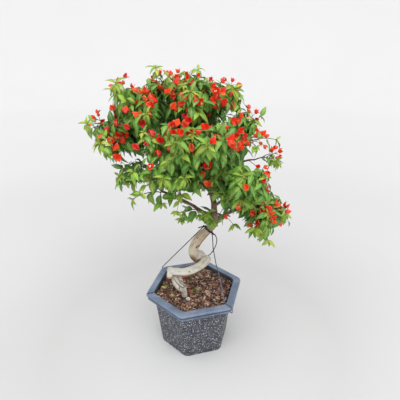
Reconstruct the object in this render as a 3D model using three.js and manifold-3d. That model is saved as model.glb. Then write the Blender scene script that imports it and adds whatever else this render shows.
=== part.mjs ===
// Bougainvillea bonsai with a corkscrew trunk, in a hexagonal plastic pot.
// Millimetres, +Z up. The origin is the centre of the pot's base and the tree's front faces -Y.
import * as THREE from 'three';
import { mergeVertices } from 'three/addons/utils/BufferGeometryUtils.js';
import Module from 'manifold-3d';

const wasm = await Module();
wasm.setup();

// Driving dimensions
const pot = {
  height: 184, turn: 15, cornerRadius: 18, cornerSteps: 2,
  rimRadius: 152, mouthRadius: 128, shoulderRadius: 129, baseRadius: 108,
  wall: 3, floor: 4, lipDepth: 18, lipWall: 3, ledge: 4, groove: 2.6,
  slotWidth: 5, slotDepth: 2.2, drainCount: 6, drainRadius: 6, drainCircle: 58,
};
const soil = { top: 170, rings: 3, relief: 2.6, chipCount: 16, chipLength: 31, chipWidth: 14, chipThick: 5 };
const clearance = 0.3;
const wire = { diameter: 2.6, sides: 8, step: 7.5 };
const leaf = {
  longest: 46, shortest: 33, attempts: 9,
  form: { rows: [[0.38, 0.5], [0.7, 0.34]], width: 0.54, thick: 1.8, fold: 0.2, curl: 0.3 },
};
const twig = {
  radius: 1.6, sides: 3, seat: 2.4, fork: 0.35, sideReach: 0.75,
  mainLeaves: 5, mainFrom: 0.26, sideFrom: 0.38, longReach: 66,
};
const bloom = {
  bract: 26, stalk: 34, pedicel: 19, radius: 1.1, core: 3, count: 5, attempts: 8,
  form: { rows: [[0.55, 0.5]], width: 0.86, thick: 1.7, fold: -0.2, curl: -0.3 },
};
const crownCentre = new THREE.Vector3(-10, 0, 610);
const up = new THREE.Vector3(0, 0, 1);

const v3 = (x, y, z) => new THREE.Vector3(x, y, z);
const towards = (angle) => v3(Math.cos(angle), Math.sin(angle), 0);
const degrees = THREE.MathUtils.degToRad;

// Repeatable scatter: a number from 0 to 1 for each set of three indices
function scatter(a, b, c) {
  const value = Math.sin(a * 12.9898 + b * 78.233 + c * 37.719) * 43758.5453;
  return value - Math.floor(value);
}

// Solids
function solidOf(geometry) {
  const bare = geometry.clone();
  bare.deleteAttribute('normal');
  bare.deleteAttribute('uv');
  const merged = mergeVertices(bare, 1e-4);
  return new wasm.Manifold(new wasm.Mesh({
    numProp: 3,
    vertProperties: new Float32Array(merged.attributes.position.array),
    triVerts: new Uint32Array(merged.index.array),
  }));
}

function geometryOf(solid) {
  const mesh = solid.getMesh();
  const geometry = new THREE.BufferGeometry();
  geometry.setAttribute('position', new THREE.BufferAttribute(mesh.vertProperties, 3));
  geometry.setIndex(new THREE.BufferAttribute(mesh.triVerts, 1));
  geometry.computeVertexNormals();
  return geometry;
}

function indexed(points, triangles) {
  const geometry = new THREE.BufferGeometry();
  geometry.setAttribute('position', new THREE.Float32BufferAttribute(points.flatMap((p) => p.toArray()), 3));
  geometry.setIndex(triangles);
  return geometry;
}

// Skin between rings with as many points each, with fans at both ends, or closed on itself
function loft(rings, closed = false) {
  const count = rings[0].length;
  const triangles = [];
  const spans = closed ? rings.length : rings.length - 1;
  for (let ring = 0; ring < spans; ring += 1) {
    const low = ring * count;
    const high = ((ring + 1) % rings.length) * count;
    for (let side = 0; side < count; side += 1) {
      const next = (side + 1) % count;
      triangles.push(low + side, low + next, high + next, low + side, high + next, high + side);
    }
  }
  if (!closed) {
    const last = (rings.length - 1) * count;
    for (let side = 1; side < count - 1; side += 1) {
      triangles.push(0, side + 1, side);
      triangles.push(last, last + side, last + side + 1);
    }
  }
  return solidOf(indexed(rings.flat(), triangles));
}

// Round tube of changing radius along a curve, grown by an allowance where it only clears its neighbours
function tube(curve, radii, sides, steps, allowance = 0) {
  const frames = curve.computeFrenetFrames(steps, false);
  const rings = [];
  for (let step = 0; step <= steps; step += 1) {
    const along = step / steps;
    const beyond = step === 0 ? -allowance : Number(step === steps) * allowance;
    const centre = curve.getPointAt(along).addScaledVector(frames.tangents[step], beyond);
    const radius = radiusAt(radii, along) + allowance;
    const ring = [];
    for (let side = 0; side < sides; side += 1) {
      const angle = (2 * Math.PI * side) / sides;
      ring.push(centre.clone()
        .addScaledVector(frames.normals[step], Math.cos(angle) * radius)
        .addScaledVector(frames.binormals[step], Math.sin(angle) * radius));
    }
    rings.push(ring);
  }
  return loft(rings);
}

function radiusAt(radii, along) {
  const place = along * (radii.length - 1);
  const index = Math.min(Math.floor(place), radii.length - 2);
  return THREE.MathUtils.lerp(radii[index], radii[index + 1], place - index);
}

function joined(solids) {
  return solids.reduce((sum, solid) => sum.add(solid));
}

function largestBody(solid) {
  const bodies = solid.decompose();
  return bodies.reduce((best, body) => (body.volume() > best.volume() ? body : best));
}

// Pot
function hexagonRing(radius, z, cornerRadius = pot.cornerRadius) {
  const ring = [];
  for (let corner = 0; corner < 6; corner += 1) {
    const angle = degrees(pot.turn + corner * 60);
    const centre = towards(angle).multiplyScalar(radius - cornerRadius / Math.cos(degrees(30)));
    for (let step = 0; step <= pot.cornerSteps; step += 1) {
      const turn = angle + degrees(-30 + (60 * step) / pot.cornerSteps);
      ring.push(centre.clone().addScaledVector(towards(turn), cornerRadius).setZ(z));
    }
  }
  return ring;
}

function potInside(z) {
  const along = (z - pot.floor) / (pot.height - pot.floor);
  return THREE.MathUtils.lerp(pot.baseRadius - pot.wall * 1.2, pot.mouthRadius - 2, along);
}

function makePot() {
  const top = pot.height;
  const lipBottom = top - pot.lipDepth;
  const ledgeTop = lipBottom + 6;
  const grooveTop = ledgeTop + 2.5;
  const lipRadius = pot.rimRadius - pot.ledge;
  const shell = loft([
    hexagonRing(pot.baseRadius - 1.5, 0),
    hexagonRing(pot.baseRadius, 2),
    hexagonRing(pot.shoulderRadius, top - pot.lipWall),
    hexagonRing(lipRadius - pot.lipWall - 1, top - pot.lipWall),
    hexagonRing(lipRadius - pot.lipWall - 2, lipBottom),
    hexagonRing(lipRadius, lipBottom),
    hexagonRing(lipRadius, ledgeTop),
    hexagonRing(lipRadius - pot.groove, grooveTop - 1),
    hexagonRing(pot.rimRadius - 1.5, grooveTop + 1),
    hexagonRing(pot.rimRadius, grooveTop + 3),
    hexagonRing(pot.rimRadius, top - 2),
    hexagonRing(pot.rimRadius - 2, top),
    hexagonRing(pot.mouthRadius, top),
    hexagonRing(potInside(top - 3), top - 3),
    hexagonRing(potInside(pot.floor), pot.floor),
  ]);
  const cuts = [];
  for (const corner of [1, 3, 5]) {
    const angle = degrees(pot.turn + corner * 60);
    const slot = new THREE.BoxGeometry(60, pot.slotWidth, pot.slotDepth * 2);
    slot.rotateZ(angle);
    slot.translate(...towards(angle).multiplyScalar(pot.rimRadius - 18).setZ(top).toArray());
    cuts.push(solidOf(slot));
  }
  for (let hole = 0; hole < pot.drainCount; hole += 1) {
    const drain = new THREE.CylinderGeometry(pot.drainRadius, pot.drainRadius, pot.floor * 4, 6);
    drain.rotateX(Math.PI / 2);
    const place = towards(degrees(pot.turn + hole * 60)).multiplyScalar(pot.drainCircle);
    drain.translate(...place.toArray());
    cuts.push(solidOf(drain));
  }
  return shell.subtract(joined(cuts)).simplify(0.01);
}

// Wood: the trunk, the leader and the branches, as curves with a radius at each even share of their length
const wood = {
  trunk: {
    points: [
      [-28, -33, 122], [-29, -32, 160], [-32, -33, 186], [-42, -36, 208], [-56, -32, 226], [-70, -22, 240],
      [-74, -28, 256], [-56, -42, 264], [-24, -49, 269], [4, -41, 274], [27, -26, 278], [42, -7, 279],
      [46, 13, 272], [35, 31, 265], [17, 31, 265], [5, 15, 275], [-1, 5, 292], [-3, 2, 312], [6, 4, 336],
      [24, 7, 357], [44, 10, 377], [60, 12, 398], [58, 11, 425],
    ],
    radii: [
      8, 8.8, 9.2, 10, 10.5, 11.5, 12.5, 13, 13, 13, 13,
      13, 13, 13, 13.8, 14.2, 14.5, 14.5, 13.5, 12, 11.5, 9,
    ],
    sides: 8, steps: 36,
  },
  lobe: {
    points: [[-34, -36, 192], [-46, -41, 204], [-60, -38, 220], [-69, -28, 238], [-70, -26, 252]],
    radii: [6, 8.5, 9.5, 10, 9], sides: 7, steps: 6,
  },
  stub: {
    points: [[-27, -33, 140], [-23, -42, 158], [-20, -48, 174]], radii: [6, 7.5, 8.2], sides: 8, steps: 2,
  },
  leader: {
    points: [
      [58, 11, 412], [57, 10, 435], [54, 8, 468], [42, 5, 502], [16, 0, 530],
      [-5, 0, 565], [-22, 5, 620], [-30, 10, 680], [-34, 8, 735], [-35, 5, 752],
    ],
    radii: [9.5, 8.4, 7.4, 6.4, 5.4, 4.4, 3.4, 2.4], sides: 6, steps: 12,
  },
  left_low: {
    points: [[57, 10, 418], [26, 2, 432], [-6, -8, 460], [-50, -30, 495], [-90, -41, 519]],
    radii: [6.2, 5, 3.8, 2.5], sides: 5, steps: 4,
  },
  right_low: {
    points: [[60, 12, 400], [88, 16, 418], [125, 4, 440], [165, -15, 454], [180, -20, 458]],
    radii: [6.2, 5, 3.8, 2.5], sides: 5, steps: 4,
  },
  right_up: {
    points: [[54, 8, 466], [84, 14, 520], [112, 14, 575], [128, 8, 630], [130, 6, 650]],
    radii: [5.6, 4.6, 3.6, 2.4], sides: 5, steps: 4,
  },
  right_mid: {
    points: [[110, 14, 570], [145, 8, 584], [165, 2, 588]], radii: [3.4, 3, 2.3], sides: 5, steps: 4,
  },
  left_up: {
    points: [[-3, 0, 562], [-50, 4, 592], [-105, 0, 626], [-155, -8, 662], [-180, -8, 677]],
    radii: [5, 4.2, 3.3, 2.4], sides: 5, steps: 4,
  },
  front: {
    points: [[30, 3, 517], [18, -48, 560], [4, -98, 612], [-2, -118, 636]],
    radii: [4.8, 3.8, 2.4], sides: 5, steps: 4,
  },
  back: {
    points: [[49, 7, 485], [60, 60, 530], [54, 108, 585], [46, 130, 615]],
    radii: [5, 3.9, 2.4], sides: 5, steps: 4,
  },
  top_right: {
    points: [[-21, 5, 617], [12, 10, 676], [44, 6, 722], [58, 3, 738]],
    radii: [4, 3.2, 2.3], sides: 5, steps: 4,
  },
  back_left: {
    points: [[-9, 1, 583], [-48, 56, 620], [-88, 106, 660], [-101, 124, 678]],
    radii: [4.4, 3.4, 2.3], sides: 5, steps: 4,
  },
  back_right: {
    points: [[80, 14, 512], [114, 62, 548], [130, 86, 570]], radii: [4, 3.2, 2.3], sides: 5, steps: 4,
  },
  front_right: {
    points: [[56, 9, 448], [84, -42, 496], [108, -88, 545], [113, -104, 566]],
    radii: [4.6, 3.6, 2.3], sides: 5, steps: 4,
  },
  front_left: {
    points: [[-6, -8, 460], [-34, -66, 500], [-62, -112, 548], [-71, -128, 568]],
    radii: [4, 3.3, 2.3], sides: 5, steps: 4,
  },
  left_high: {
    points: [[-27, 7, 650], [-72, 2, 694], [-112, -8, 730], [-130, -11, 741]],
    radii: [3.6, 3, 2.3], sides: 5, steps: 3,
  },
};

for (const limb of Object.values(wood)) {
  limb.curve = new THREE.CatmullRomCurve3(limb.points.map((p) => v3(...p)), false, 'catmullrom', 0.5);
}

function makeWood(allowance) {
  return joined(Object.values(wood).map((limb) => (
    tube(limb.curve, limb.radii, limb.sides, limb.steps, allowance))));
}

// Soil, with bark chips on it, and a plain hole for the foot of the trunk
function makeSoil(woodRoom) {
  const inset = clearance / Math.cos(degrees(30));
  const bottom = pot.floor + clearance;
  const edge = soil.top - 3;
  const rings = [hexagonRing(potInside(bottom) - inset, bottom), hexagonRing(potInside(edge) - inset, edge)];
  for (let ring = 1; ring <= soil.rings; ring += 1) {
    const share = 1 - ring / (soil.rings + 0.6);
    const outline = hexagonRing((potInside(edge) - 3) * share, 0, pot.cornerRadius * share);
    outline.forEach((point, index) => {
      point.z = soil.top + soil.relief * (scatter(ring, index, 1) * 2 - 1) + 3 * share * share;
    });
    rings.push(outline);
  }
  const chips = [];
  for (let chip = 0; chip < soil.chipCount; chip += 1) {
    const angle = chip * 2.39996;
    const reach = 86 * Math.sqrt((chip + 0.5) / soil.chipCount);
    const size = 0.75 + 0.5 * scatter(chip, 2, 5);
    const box = new THREE.BoxGeometry(soil.chipLength * size, soil.chipWidth * size, soil.chipThick);
    box.rotateX((scatter(chip, 3, 5) - 0.5) * 0.7);
    box.rotateY((scatter(chip, 4, 5) - 0.5) * 0.6);
    box.rotateZ(scatter(chip, 6, 5) * Math.PI);
    const rise = soil.top + 1.5 + 3 * (reach / 120) ** 2;
    box.translate(reach * Math.cos(angle), reach * Math.sin(angle), rise);
    chips.push(solidOf(box));
  }
  return largestBody(loft(rings).add(joined(chips)).subtract(woodRoom)).simplify(0.01);
}

// Leafy shoots: a twig that leaves a branch and arches to its tip, with one side twig, and leaves round both
const shoots = [
  { name: 'crown_left', limb: 'leader', at: 0.93, tip: [-90, -10, 778], arch: 14, side: -1 },
  { name: 'crown_middle', limb: 'leader', at: 0.995, tip: [-30, -30, 779], arch: 2, side: 1 },
  { name: 'crown_right', limb: 'top_right', at: 0.45, tip: [8, 8, 782], arch: 10, side: 1 },
  { name: 'high_right', limb: 'top_right', at: 0.99, tip: [104, -14, 758], arch: 20, side: 1 },
  { name: 'crown_front', limb: 'leader', at: 0.86, tip: [-12, -84, 762], arch: 22, side: 1 },
  { name: 'crown_back', limb: 'back_left', at: 0.35, tip: [-36, 82, 768], arch: 8, side: 1 },
  { name: 'high_left', limb: 'left_high', at: 0.99, tip: [-196, -26, 772], arch: 14, side: 1 },
  { name: 'high_left_front', limb: 'left_high', at: 0.6, tip: [-122, -92, 734], arch: 22, side: -1 },
  { name: 'left_end', limb: 'left_up', at: 0.99, tip: [-266, -4, 686], arch: 14, side: 1 },
  { name: 'left_front', limb: 'left_up', at: 0.7, tip: [-200, -82, 650], arch: 24, side: -1 },
  { name: 'left_back', limb: 'left_up', at: 0.8, tip: [-196, 72, 662], arch: 22, side: 1 },
  { name: 'left_low_end', limb: 'left_low', at: 0.99, tip: [-172, -22, 560], arch: 22, side: 1 },
  { name: 'left_low_front', limb: 'left_low', at: 0.78, tip: [-150, -118, 528], arch: 30, side: 1 },
  { name: 'front_end', limb: 'front', at: 0.99, tip: [-26, -184, 690], arch: 20, side: 1 },
  { name: 'front_upper_left', limb: 'front', at: 0.62, tip: [-84, -140, 672], arch: 24, side: 1 },
  { name: 'front_upper_right', limb: 'front', at: 0.7, tip: [56, -150, 684], arch: 24, side: 1 },
  { name: 'front_low_left', limb: 'front_left', at: 0.99, tip: [-96, -184, 600], arch: 20, side: 1 },
  { name: 'front_low_middle', limb: 'front_left', at: 0.55, tip: [-30, -150, 552], arch: 24, side: 1 },
  { name: 'front_right_end', limb: 'front_right', at: 0.99, tip: [108, -168, 598], arch: 20, side: 1 },
  { name: 'front_right_low', limb: 'front_right', at: 0.5, tip: [58, -126, 548], arch: 22, side: 1 },
  { name: 'right_top', limb: 'right_up', at: 0.99, tip: [136, -8, 716], arch: 6, side: 1 },
  { name: 'right_front', limb: 'right_up', at: 0.66, tip: [152, -82, 648], arch: 32, side: 1 },
  { name: 'right_end', limb: 'right_mid', at: 0.98, tip: [216, -10, 588], arch: 16, side: 1 },
  { name: 'right_low_end', limb: 'right_low', at: 0.99, tip: [232, -40, 448], arch: 16, side: 1 },
  { name: 'right_low_front', limb: 'right_low', at: 0.6, tip: [176, -102, 448], arch: 34, side: 1 },
  { name: 'right_low_back', limb: 'right_low', at: 0.7, tip: [190, 62, 484], arch: 24, side: 1 },
  { name: 'back_end', limb: 'back', at: 0.99, tip: [34, 190, 668], arch: 18, side: 1 },
  { name: 'back_middle', limb: 'back', at: 0.6, tip: [-16, 146, 592], arch: 22, side: 1 },
  { name: 'back_right_end', limb: 'back_right', at: 0.98, tip: [166, 146, 612], arch: 16, side: 1 },
  { name: 'back_left_end', limb: 'back_left', at: 0.99, tip: [-132, 178, 706], arch: 16, side: 1 },
  { name: 'fork_left', limb: 'left_low', at: 0.3, tip: [-26, -44, 454], arch: 16, side: 1 },
  { name: 'fork_front', limb: 'trunk', at: 0.985, tip: [34, -46, 446], arch: 18, side: 1 },
];

function twigCurve(start, tip, arch) {
  const middle = start.clone().lerp(tip, 0.5).addScaledVector(up, arch);
  return new THREE.QuadraticBezierCurve3(start, middle, tip);
}

// Point of a curve at a share of its length, with directions along, across and over it
function curveFrame(curve, at) {
  const point = curve.getPoint(at);
  const before = curve.v1.clone().sub(curve.v0).multiplyScalar(2 * (1 - at));
  const along = curve.v2.clone().sub(curve.v1).multiplyScalar(2 * at).add(before).normalize();
  return { point, along, ...aroundAxis(along) };
}

function aroundAxis(axis) {
  const across = up.clone().cross(axis);
  if (across.length() < 0.2) {
    across.set(1, 0, 0).addScaledVector(axis, -axis.x);
  }
  across.normalize();
  return { across, over: axis.clone().cross(across) };
}

function layOutShoot(shoot) {
  const start = wood[shoot.limb].curve.getPoint(shoot.at);
  const main = twigCurve(start, v3(...shoot.tip), shoot.arch);
  const frame = curveFrame(main, twig.fork);
  const reach = start.distanceTo(main.v2) * twig.sideReach;
  const direction = frame.along.clone().multiplyScalar(0.6)
    .addScaledVector(frame.across, 0.8 * shoot.side).addScaledVector(up, -0.1).normalize();
  const sideTip = frame.point.clone().addScaledVector(direction, reach);
  const side = twigCurve(frame.point, sideTip, shoot.arch * 0.5);
  return [
    { curve: main, leaves: twig.mainLeaves, from: twig.mainFrom, start: 0 },
    { curve: side, leaves: reach > twig.longReach ? 3 : 2, from: twig.sideFrom, start: 0 },
  ];
}

// Where a leaf stands on its twig, for each attempt at finding free room
function leafPlace(shootIndex, twigIndex, stem, index, attempt) {
  const at = THREE.MathUtils.lerp(stem.from, 0.96, index / (stem.leaves - 1));
  const frame = curveFrame(stem.curve, at);
  const last = index === stem.leaves - 1;
  const turn = index * 2.4 + shootIndex * 1.7 + twigIndex * 2.9 + attempt * 0.72;
  const outward = frame.across.clone().multiplyScalar(Math.cos(turn))
    .addScaledVector(frame.over, Math.sin(turn));
  const droop = 0.25 + 0.3 * scatter(shootIndex, index, 3 + twigIndex);
  const axis = frame.along.clone().multiplyScalar(last ? 0.9 : 0.45)
    .addScaledVector(outward, 0.85).addScaledVector(up, -droop).normalize();
  const away = frame.point.clone().sub(crownCentre).normalize();
  const face = up.clone().multiplyScalar(0.9).addScaledVector(away, 0.55)
    .addScaledVector(frame.across, 0.5 * (scatter(shootIndex, index, 9 + twigIndex) - 0.5));
  face.addScaledVector(axis, -face.dot(axis)).normalize();
  const size = THREE.MathUtils.lerp(leaf.longest, leaf.shortest, at * at) - 5 * scatter(shootIndex, index, 7);
  return { at, base: frame.point, axis, face, size };
}

// Blade with a folded midrib, thin at the edge: each row has a left, a top, a right and a bottom point
function bladeLoops(place, form, grow = 0) {
  const across = place.face.clone().cross(place.axis);
  const length = place.size;
  const at = (share, aside, rise) => place.base.clone()
    .addScaledVector(place.axis, share * length)
    .addScaledVector(across, aside)
    .addScaledVector(place.face, rise + length * form.curl * (0.5 * share - share * share));
  const rows = form.rows.map(([share, half]) => {
    const aside = half * form.width * length;
    const rise = form.fold * aside;
    const thick = form.thick / 2 + grow;
    const edge = aside + grow;
    return [at(share, edge, rise), at(share, 0, thick), at(share, -edge, rise), at(share, 0, -thick)];
  });
  return { rows, tip: at(1 + grow / length, 0, 0) };
}

function turned(points, turn) {
  return points.map((unused, index) => points[(index + turn) % points.length]);
}

// Skin of triangles that grows loop by loop
class Skin {
  constructor() {
    this.points = [];
    this.triangles = [];
  }

  loop(points) {
    this.points.push(...points);
    return points.map((point, index) => this.points.length - points.length + index);
  }

  side(low, high, index) {
    const next = (index + 1) % low.length;
    return [low[index], low[next], high[next], high[index]];
  }

  quad([a, b, c, d], turned = false) {
    this.triangles.push(...(turned ? [a, b, d, b, c, d] : [a, b, c, a, c, d]));
  }

  band(low, high, isTurned = () => false) {
    low.forEach((corner, index) => this.quad(this.side(low, high, index), isTurned(index)));
  }

  point(loop, point) {
    const [tip] = this.loop([point]);
    loop.forEach((corner, index) => this.triangles.push(corner, loop[(index + 1) % loop.length], tip));
  }

  // How far to turn a new loop, so that each point joins the corner below it and the corner before that
  turnOf(from, points) {
    const middleOf = (list) => list.reduce((sum, p) => sum.add(p), v3(0, 0, 0)).divideScalar(list.length);
    const corners = from.map((index) => this.points[index]);
    const start = middleOf(corners);
    const end = middleOf(points);
    const ways = corners.map((corner) => corner.clone().sub(start).normalize());
    const scores = points.map((unused, turn) => points.reduce((sum, point, index) => {
      const way = point.clone().sub(end).normalize();
      const corner = (index - turn + points.length) % points.length;
      const before = (corner + points.length - 1) % points.length;
      return sum + way.dot(ways[corner]) + 0.5 * way.dot(ways[before]);
    }, 0));
    return scores.indexOf(Math.max(...scores));
  }

  follow(from, points) {
    return turned(points, this.turnOf(from, points));
  }

  blade(from, { rows, tip }) {
    const turn = this.turnOf(from, rows[0]);
    const first = this.loop(turned(rows[0], turn));
    this.band(from, first);
    this.bladeEnd(first, rows.slice(1), tip, turn);
  }

  // Later rows of a blade, split into triangles alike on both of its faces, from its edges to its midrib
  bladeEnd(first, rows, tip, turn) {
    let low = first;
    for (const row of rows) {
      const high = this.loop(turned(row, turn));
      this.band(low, high, (index) => (index + turn) % 2 === 1);
      low = high;
    }
    this.point(low, tip);
  }

  solid() {
    return solidOf(indexed(this.points, this.triangles));
  }
}

// Ring of points, turned so that one of its sides faces a direction
function ringAround(centre, across, over, radius, sides, facing = null) {
  const phase = facing ? Math.atan2(facing.dot(over), facing.dot(across)) - Math.PI / sides : 0;
  return Array.from({ length: sides }, (unused, side) => {
    const angle = (2 * Math.PI * side) / sides + phase;
    return centre.clone().addScaledVector(across, Math.cos(angle) * radius)
      .addScaledVector(over, Math.sin(angle) * radius);
  });
}

// Index of the side that faces a direction best
function facingSide(skin, sides, direction) {
  const scores = sides.map((side) => {
    const [a, b, , d] = side.map((index) => skin.points[index]);
    return b.clone().sub(a).cross(d.clone().sub(a)).normalize().dot(direction);
  });
  return scores.indexOf(Math.max(...scores));
}

// Stem grown loop by loop, with a narrow seat round it for each place where something grows from its sides
function growStem(skin, from, ringAt, seats) {
  let low = from;
  for (const seat of seats) {
    const facing = seat.growths[0].direction;
    const open = skin.loop(skin.follow(low, ringAt(seat.at - seat.half, facing)));
    const close = skin.loop(skin.follow(open, ringAt(seat.at + seat.half, facing)));
    const sides = open.map((corner, index) => skin.side(open, close, index));
    skin.band(low, open);
    for (const growth of seat.growths) {
      const [side] = sides.splice(facingSide(skin, sides, growth.direction), 1);
      growth.grow(side);
    }
    sides.forEach((side) => skin.quad(side));
    low = close;
  }
  return low;
}

function twigRing(stem, sides) {
  return (at, facing) => {
    const { point, across, over } = curveFrame(stem.curve, at);
    return ringAround(point, across, over, twig.radius * (1 - 0.35 * at), sides, facing);
  };
}

// Twig that ends just past its last leaf
function growTwig(skin, from, stem, sides, seats) {
  seats.sort((a, b) => a.at - b.at);
  const loop = growStem(skin, from, twigRing(stem, sides), seats);
  const last = seats.length ? seats[seats.length - 1].at : 0.9;
  const end = curveFrame(stem.curve, last);
  skin.point(loop, end.point.addScaledVector(end.along, 2));
}

function leafSeats(skin, stem, places) {
  const half = twig.seat / 2 / stem.curve.getLength();
  return places.map((place) => ({
    at: place.at,
    half,
    growths: [{ direction: place.axis, grow: (side) => skin.blade(side, bladeLoops(place, leaf.form)) }],
  }));
}

function shootSolid([main, side], [mainPlaces, sidePlaces]) {
  const skin = new Skin();
  const seats = leafSeats(skin, main, mainPlaces);
  seats.push({
    at: twig.fork,
    half: twig.seat / 2 / main.curve.getLength(),
    growths: [{
      direction: curveFrame(side.curve, 0).along,
      grow: (from) => growTwig(skin, from, side, 4, leafSeats(skin, side, sidePlaces)),
    }],
  });
  const root = curveFrame(main.curve, main.start);
  const first = skin.loop(twigRing(main, twig.sides)(main.start));
  skin.point([...first].reverse(), root.point.addScaledVector(root.along, -0.1));
  growTwig(skin, first, main, twig.sides, seats);
  return skin.solid();
}

// Share of a twig's curve at which it comes clear of the wood that it grows from
function seatOnWood(curve, woodRoom) {
  for (let at = 0; at < 0.4; at += 0.002) {
    const from = curveFrame(curve, at);
    const foot = line(from.point.clone().addScaledVector(from.along, -0.1), curve.getPoint(at + 0.02));
    if (stick(foot, twig.radius, 10, 1).intersect(woodRoom).isEmpty()) {
      return at;
    }
  }
  return 0;
}

// Room that a blade needs round it, from a share of its length out
function bladeRoom(place, form, from) {
  const skin = new Skin();
  const { rows, tip } = bladeLoops(place, form, 0.8);
  const first = skin.loop(rows[0]);
  skin.point([...first].reverse(), place.base.clone().addScaledVector(place.axis, from * place.size));
  skin.bladeEnd(first, rows.slice(1), tip, 0);
  return skin.solid();
}

function stick(curve, radius, sides = 5, steps = 4) {
  return tube(curve, [radius, radius * 0.8], sides, steps);
}

function line(from, to) {
  return new THREE.LineCurve3(from, to);
}

// Room already taken, so that what comes later is placed clear of it
const taken = [];

function boxOf(solid) {
  const bounds = solid.boundingBox();
  return new THREE.Box3(v3(...bounds.min), v3(...bounds.max));
}

function take(solid, stem = null) {
  taken.push({ solid, box: boxOf(solid), stem });
}

// Whether a solid is clear of what is there, and its part away from the root of the stem that it grows from
function isClear(solid, stem, outer) {
  const box = boxOf(solid);
  return taken.every((other) => {
    const part = stem && other.stem === stem ? outer : solid;
    return !box.intersectsBox(other.box) || part.intersect(other.solid).isEmpty();
  });
}

// Bloom sprays: a stalk from a shoot's twig, with pedicels and blooms of three bracts
const sprays = [
  { shoot: 'crown_left', at: 0.7 },
  { shoot: 'crown_middle', at: 0.87 },
  { shoot: 'crown_right', at: 0.52 },
  { shoot: 'high_right', at: 0.52 },
  { shoot: 'crown_front', at: 0.7 },
  { shoot: 'high_left', at: 0.52 },
  { shoot: 'high_left_front', at: 0.7 },
  { shoot: 'left_end', at: 0.52 },
  { shoot: 'left_front', at: 0.7 },
  { shoot: 'front_upper_left', at: 0.87 },
  { shoot: 'front_upper_right', at: 0.7 },
  { shoot: 'front_end', at: 0.7 },
  { shoot: 'right_top', at: 0.52 },
  { shoot: 'right_front', at: 0.7 },
  { shoot: 'right_end', at: 0.52 },
  { shoot: 'right_low_end', at: 0.7 },
  { shoot: 'right_low_front', at: 0.7 },
  { shoot: 'crown_back', at: 0.52 },
];

function sprayPlace(shootIndex, curve, at, attempt) {
  const frame = curveFrame(curve, at);
  const away = frame.point.clone().sub(crownCentre).normalize();
  const lean = Math.sin(attempt * 1.9 + shootIndex);
  const axis = away.multiplyScalar(0.8).addScaledVector(up, 0.45)
    .addScaledVector(frame.across, 0.75 * lean).normalize();
  return { base: frame.point, axis, tip: frame.point.clone().addScaledVector(axis, bloom.stalk) };
}

// Heads of a spray: the first ends the stalk, and the others lean away round it on pedicels
function headPlace(shootIndex, spray, index, attempt) {
  if (index === 0) {
    return { at: 1, centre: spray.tip, axis: spray.axis };
  }
  const { across, over } = aroundAxis(spray.axis);
  const pair = Math.ceil(index / 2);
  const turn = index * Math.PI + pair * degrees(70) + shootIndex * 0.9 + attempt * 0.45;
  const radial = across.multiplyScalar(Math.cos(turn)).addScaledVector(over, Math.sin(turn));
  const axis = radial.multiplyScalar(0.93).addScaledVector(spray.axis, 0.36).normalize();
  const at = 0.28 + 0.24 * pair;
  const fork = spray.base.clone().lerp(spray.tip, at);
  return { at, centre: fork.addScaledVector(axis, bloom.pedicel), axis };
}

// Bracts stand round a head's core: the middle one over the side of the core that it grows from
function coreOf(head) {
  const { across, over } = aroundAxis(head.axis);
  const middle = across.clone().add(over).normalize();
  return { across, over, middle, beside: head.axis.clone().cross(middle) };
}

function bractPlace(head, core, petal) {
  const turn = (petal - 1) * degrees(120);
  const radial = core.middle.clone().multiplyScalar(Math.cos(turn))
    .addScaledVector(core.beside, Math.sin(turn));
  const axis = head.axis.clone().multiplyScalar(0.62).addScaledVector(radial, 0.78).normalize();
  const face = head.axis.clone().addScaledVector(axis, -head.axis.dot(axis)).normalize();
  return { base: head.centre, axis, face, size: bloom.bract };
}

function growHead(skin, from, head) {
  const core = coreOf(head);
  const lift = (share) => head.centre.clone().addScaledVector(head.axis, share * bloom.core);
  const low = ringAround(lift(-0.5), core.across, core.over, bloom.radius * 1.4, 4);
  const high = ringAround(lift(0.5), core.across, core.over, bloom.radius * 1.4, 4);
  const turned = skin.follow(from, low);
  const shift = low.indexOf(turned[0]);
  const lowLoop = skin.loop(turned);
  const highLoop = skin.loop(turned.map((p, index) => high[(index + shift) % 4]));
  skin.band(from, lowLoop);
  lowLoop.forEach((corner, index) => {
    const petal = (index + shift + 1) % 4;
    const side = skin.side(lowLoop, highLoop, index);
    if (petal === 3) {
      skin.quad(side);
    } else {
      skin.blade(side, bladeLoops(bractPlace(head, core, petal), bloom.form));
    }
  });
  skin.point(highLoop, lift(1));
}

function headRoom(head) {
  const core = coreOf(head);
  return joined([0, 1, 2].map((petal) => bladeRoom(bractPlace(head, core, petal), bloom.form, 0.12)));
}

function sprayShape(place, heads) {
  const skin = new Skin();
  const { across, over } = aroundAxis(place.axis);
  const ringAt = (at, facing) => (
    ringAround(place.base.clone().lerp(place.tip, at), across, over, bloom.radius, 4, facing));
  const side = heads.slice(1);
  const forks = [...new Set(side.map((head) => head.at))];
  const seats = forks.map((at) => ({
    at,
    half: 1.2 / bloom.stalk,
    growths: side.filter((head) => head.at === at)
      .map((head) => ({ direction: head.axis, grow: (from) => growHead(skin, from, head) })),
  }));
  const first = skin.loop(ringAt(0));
  skin.point([...first].reverse(), place.base.clone().addScaledVector(place.axis, -0.1));
  growHead(skin, growStem(skin, first, ringAt, seats), heads[0]);
  return skin.solid();
}

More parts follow.
